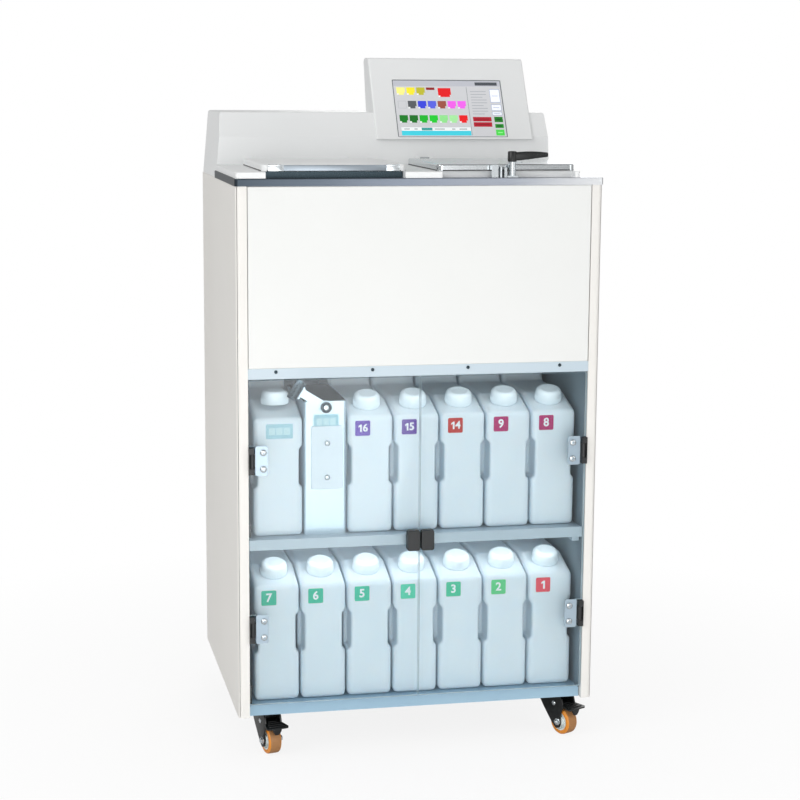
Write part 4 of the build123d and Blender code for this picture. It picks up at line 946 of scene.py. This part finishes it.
def makeFork(name, spot, axle):
    # two pressed side plates, the bridge in front of the kingpin, and the top with its ball race
    bm = bmesh.new()
    outline = roundCorners(forkPlate["outline"], forkPlate["round"])
    for side in (-1, 1):
        low, high = sorted((side * forkPlate["inside"], side * forkPlate["outside"]))
        addSoftPrism(bm, outline, low, high, 0.7, spot @ alongX, 2)
    for low, high in forkPlate["blocks"]:
        addBlock(bm, low, high, 0.8, 2, spot)
    r = forkPlate["race"]
    addTurned(bm, [(0, 0), (r - 3, 0), (r - 1, 0.5), (r, 1.6), (r - 0.6, 2.8), (r - 3, 3.2), (0, 3.2)],
              spot @ moved(0, 0, forkPlate["raceZ"]), 48)
    finishPiece(name + "_fork_plates", bm, enamelBlack, name + "_swivel", "black_metal", name + "_caster_fork",
                merge=False)
    bm = bmesh.new()
    addTurned(bm, [(4.0, -11), (4.0, 11)], axle, 24)
    finishPiece(name + "_axle_sleeve", bm, steelBright, name + "_swivel", "zinc")


def makeWheel(name, axle):
    # tread with a dusty rolling face, and a hub with five spokes on each face
    r, hub, half = caster["radius"], caster["hub"], caster["width"] / 2
    treadSide = [(hub, 0.6), (hub + 1, 0.1), (r - 3.2, 0.05), (r - 1.4, 0.9), (r - 0.35, 2.4), (r - 0.02, 4.6)]
    hubSide = [(4.2, 0.1), (7.4, 0.1), (8.0, 0.7), (8.4, 3.4), (hub - 3.6, 3.8), (hub - 2.2, 0.9), (hub, 0.5)]
    treadLine, hubLine = [[(x, d - half) for x, d in side] + [(x, half - d) for x, d in reversed(side)]
                          for side in (treadSide, hubSide)]
    bm = bmesh.new()
    addTurned(bm, treadLine + treadLine[:1], axle, 64)
    tread = makeObject(name + "_tread", bm, polyurethane, 30)
    tread.data.materials.append(polyurethaneWorn)
    along = (axle.to_3x3() @ Vector((0, 0, 1))).normalized()
    for face in tread.data.polygons:
        away = face.center - axle.translation
        reach = (away - along * away.dot(along)).length
        face.material_index = int(reach > (r - 0.8) * mm)
    place(tread, name + "_roller", "tread_orange", name + "_caster_wheel")
    bm = bmesh.new()
    addTurned(bm, hubLine + hubLine[:1], axle, 48)
    for i in range(caster["spokes"]):
        for face in (-1, 1):
            spoke = axle @ Matrix.Rotation(2 * math.pi * i / caster["spokes"], 4, "Z")
            addPrism(bm, [(7.6, -1.2), (hub - 2.6, -1.2), (hub - 2.6, 1.2), (7.6, 1.2)], face * (half - 4.2),
                     face * (half - 1.3), spoke)
    finishPiece(name + "_hub", bm, nylonHub, name + "_roller", "tread_orange", angle=30, merge=False)


def makeNuts(name, spot, axle):
    # washer, nut and bolt end on both sides of the axle, and the rivets of the brake
    bm = bmesh.new()
    back, up = caster["pivot"]
    for face in (-1, 1):
        out = axle @ turned("X", 0 if face > 0 else 180, (0, 0, face * caster["legOutside"]))
        addTurned(bm, [(0, -0.2), (6.2, -0.2), (6.2, 0.7), (5.8, 1.0), (0, 1.0)], out, 32)
        addTurned(bm, [(0, 0.8), (5.2, 0.8), (5.2, 3.3), (4.4, 4.0), (0, 4.0)], out, 6)
        addTurned(bm, [(0, 3.8), (2.4, 3.8), (2.4, 4.7), (1.9, 5.2), (0, 5.2)], out, 20)
        if name.startswith("front"):
            out = spot @ turned("Y", 90 * face, (face * caster["legOutside"], -back, up))
            addTurned(bm, [(0, -0.2), (4.2, -0.2), (4.2, 0.5), (3.4, 1.5), (1.8, 2.1), (0, 2.2)], out, 24)
    finishPiece(name + "_axle_nuts", bm, steelBright, name + "_swivel", "zinc", angle=30, merge=False)


# ribs across the pedal's top, and the tongue that hangs from its front, measured from the brake's pivot
pedal = {"tilt": 5, "ribs": 4, "first": -16.0, "pitch": -7.0, "reach": 7.5, "growth": 2.4, "half": 1.1,
         "tongue": [(-8.5, 1.0), (8.5, 1.0), (7.2, -5.5), (3.6, -11.5), (-3.6, -11.5), (-7.2, -5.5)],
         "tongueY": -38.6, "tongueThick": 1.9}


def makePedal(name, spot):
    back, up = caster["pivot"]
    spot = spot @ turned("X", pedal["tilt"], (0, -back, up))
    bm = bmesh.new()
    half = pedal["half"]
    for i in range(pedal["ribs"]):
        y, reach = pedal["first"] + pedal["pitch"] * i, pedal["reach"] + pedal["growth"] * i
        outline = [(-reach, y - half), (reach, y - half), (reach, y + half), (-reach, y + half)]
        addSoftPrism(bm, roundCorners(outline, 1.0, 2), 2.2, 3.4, 0.6, spot, 2, (False, True))
    addSoftPrism(bm, roundCorners(pedal["tongue"], 2.0, 2), 0.0, pedal["tongueThick"], 0.5,
                 spot @ moved(0, pedal["tongueY"], 0) @ alongY, 2)
    finishPiece(name + "_pedal_ribs", bm, enamelBlack, name + "_brake", "black_metal")


def makeCasters():
    for name, (x, y, angle) in caster["places"].items():
        spot = turned("Z", angle, (x, y, 0))
        axle = spot @ turned("Y", 90, (0, -caster["trail"], caster["radius"]))
        makeWheel(name, axle)
        makeNuts(name, spot, axle)
        makeFork(name, spot, axle)
        if name.startswith("front"):
            makePedal(name, spot)


makeCasters()
print("casters")


# wire guard of the fan, with a screw in each corner
fanGuard = {"x": 60.0, "z": 993.0, "y": 227.5, "out": 2.2, "wire": 0.9, "rings": (9.0, 18.0, 27.0, 36.0),
            "spoke": 45.5, "ears": 33.0}


def addRing(bm, radius, wire, where, steps=56, around=8):
    angles = [2 * math.pi * i / around for i in range(around)]
    line = [(radius + wire * math.cos(a), wire * math.sin(a)) for a in angles]
    addTurned(bm, line + line[:1], where, steps)


def makeRearFittings():
    bm = bmesh.new()
    out = turned("X", -90, (fanGuard["x"], fanGuard["y"] + fanGuard["out"], fanGuard["z"]))
    wire, reach = fanGuard["wire"], fanGuard["spoke"]
    for radius in fanGuard["rings"]:
        addRing(bm, radius, wire, out)
    for turn in (45, 135):
        spoke = out @ turned("Z", turn) @ turned("Y", 90, (-reach, 0, -1.4))
        addTurned(bm, [(0, 0), (wire, 0), (wire, 2 * reach), (0, 2 * reach)], spoke, 8)
    for x in (-fanGuard["ears"], fanGuard["ears"]):
        for z in (-fanGuard["ears"], fanGuard["ears"]):
            ear = turned("X", -90, (fanGuard["x"] + x, fanGuard["y"], fanGuard["z"] + z))
            addTurned(bm, [(0, 0), (4.6, 0), (4.6, 1.6), (3.8, 2.6), (2.0, 3.2), (0, 3.3)], ear, 24)
    finishPiece("fan_guard", bm, steelBright, "cabinet", "steel_bright", angle=40, merge=False)


makeRearFittings()
print("rear fittings")


# cabinet screws

railScrews = {"x": (-237, -80, 78, 233), "z": 643.5}
rearScrews = {"x": (-291, 291), "z": (132, 372, 612, 912)}


def makeCabinetScrews():
    front = [(x, cabinet["frontY"] + 1.0, railScrews["z"], 90, 8 * i, 0) for i, x in enumerate(railScrews["x"])]
    rear = [(x, cabinet["rearY"], z, -90, 15 + 20 * i, 0) for x in rearScrews["x"]
            for i, z in enumerate(rearScrews["z"])]
    placeScrews("rail_screws", "cabinet", front, screw["rail"], screw["rail"], gunmetalAndShade, "cabinet_screws")
    placeScrews("rear_panel_screws", "cabinet", rear, screw["rear"], screw["rear"], steelBright)


makeCabinetScrews()
print("cabinet screws")


# stage, light and camera

camera = {"place": (-674.360, -3248.915, 1107.762), "yaw": 0.2095857, "pitch": -0.1659644, "roll": 0.0068931,
          "focal": 1926.478, "frame": 800}


def addCamera():
    yaw, pitch, roll = camera["yaw"], camera["pitch"], camera["roll"]
    forward = Vector((math.sin(yaw) * math.cos(pitch), math.cos(yaw) * math.cos(pitch), math.sin(pitch)))
    right = Vector((math.cos(yaw), -math.sin(yaw), 0))
    up = right.cross(forward)
    rightTurned = right * math.cos(roll) + up * math.sin(roll)
    upTurned = up * math.cos(roll) - right * math.sin(roll)
    data = bpy.data.cameras.new("photo_camera")
    data.sensor_width = 36
    data.lens = camera["focal"] / camera["frame"] * 36
    data.clip_end = 100
    lens = linkObject("photo_camera", data)
    turn = Matrix((rightTurned, upTurned, -forward)).transposed()
    lens.matrix_world = moved(*camera["place"]) @ turn.to_4x4()
    scene.camera = lens


# lamps as place, target, size and power; the bay has a thin strip over each row of bottles
light = {"world": 0.47, "floorSize": 14.0,
         "lamps": {"key": ((-3.3, -2.1, 2.8), (0, 0, 0.6), 2.8, 72.0),
                   "fill": ((2.8, -3.0, 1.7), (0, 0, 0.6), 2.6, 22.0),
                   "front": ((-0.4, -3.9, 0.75), (0, 0, 0.45), 2.6, 29.0),
                   "low": ((-0.15, -1.6, 0.3), (0, -0.2, 0.33), 0.9, 4.6),
                   "rear": ((1.6, 3.6, 2.0), (0, 0, 0.6), 2.6, 34.0)},
         "bay": ((0.0, -0.215, 0.629), (0.0, -0.2, 0.338)), "bayTurn": (0, 0.75, -0.65),
         "baySize": (0.52, 0.02), "bayPower": 0.15}


def addLamp(name, spot, direction, shape, size, power):
    data = bpy.data.lights.new(name, "AREA")
    data.shape = shape
    data.size, data.size_y = size
    data.energy = power
    lamp = linkObject(name, data)
    lamp.location = spot
    lamp.rotation_euler = Vector(direction).to_track_quat("-Z", "Y").to_euler()
    return lamp


def addLamps():
    for name, (spot, target, size, power) in light["lamps"].items():
        addLamp(name, spot, Vector(target) - Vector(spot), "DISK", (size, size), power)
    for i, spot in enumerate(light["bay"]):
        lamp = addLamp("bay_%d" % i, spot, light["bayTurn"], "RECTANGLE", light["baySize"],
                       light["bayPower"])
        lamp.visible_camera = False


def addStage():
    # even white surroundings, and a floor that fades to white away from the object for the camera only
    world = bpy.data.worlds.new("studio")
    tree = emptyTree(world)
    path = addNode(tree, "ShaderNodeLightPath").outputs
    seen = addMath(tree, "MAXIMUM", path["Is Camera Ray"], path["Is Transmission Ray"])
    soft = addNode(tree, "ShaderNodeBackground", {"Color": (1, 1, 1, 1), "Strength": light["world"]})
    plain = addNode(tree, "ShaderNodeBackground", {"Color": (1, 1, 1, 1), "Strength": 1.0})
    addNode(tree, "ShaderNodeOutputWorld", links={"Surface": mixShaders(tree, seen, soft, plain)})
    scene.world = world
    half = light["floorSize"] / 2
    mesh = bpy.data.meshes.new("floor")
    corners = [(-half, -half, 0), (half, -half, 0), (half, half, 0), (-half, half, 0)]
    mesh.from_pydata(corners, [], [(0, 1, 2, 3)])
    floor = linkObject("floor", mesh)
    material = bpy.data.materials.new("white_paper_floor")
    tree = emptyTree(material)
    where = addNode(tree, "ShaderNodeTexCoord").outputs["Object"]
    reach = addNode(tree, "ShaderNodeVectorMath", links={0: where}, operation="LENGTH")
    fade = addRange(tree, reach.outputs["Value"], 0.86, 1.0, 0.35, 1.2)
    path = addNode(tree, "ShaderNodeLightPath").outputs
    seen = addMath(tree, "MULTIPLY", path["Is Camera Ray"], fade)
    paper = addNode(tree, "ShaderNodeBsdfDiffuse", {"Color": (0.86, 0.86, 0.86, 1)})
    white = addNode(tree, "ShaderNodeEmission", {"Color": (1, 1, 1, 1), "Strength": 1.0})
    addNode(tree, "ShaderNodeOutputMaterial", links={"Surface": mixShaders(tree, seen, paper, white)})
    mesh.materials.append(material)


addCamera()
addStage()
addLamps()
scene.view_settings.view_transform = "Standard"
print("stage, lamps and camera")

bpy.data.objects.remove(screwForm)
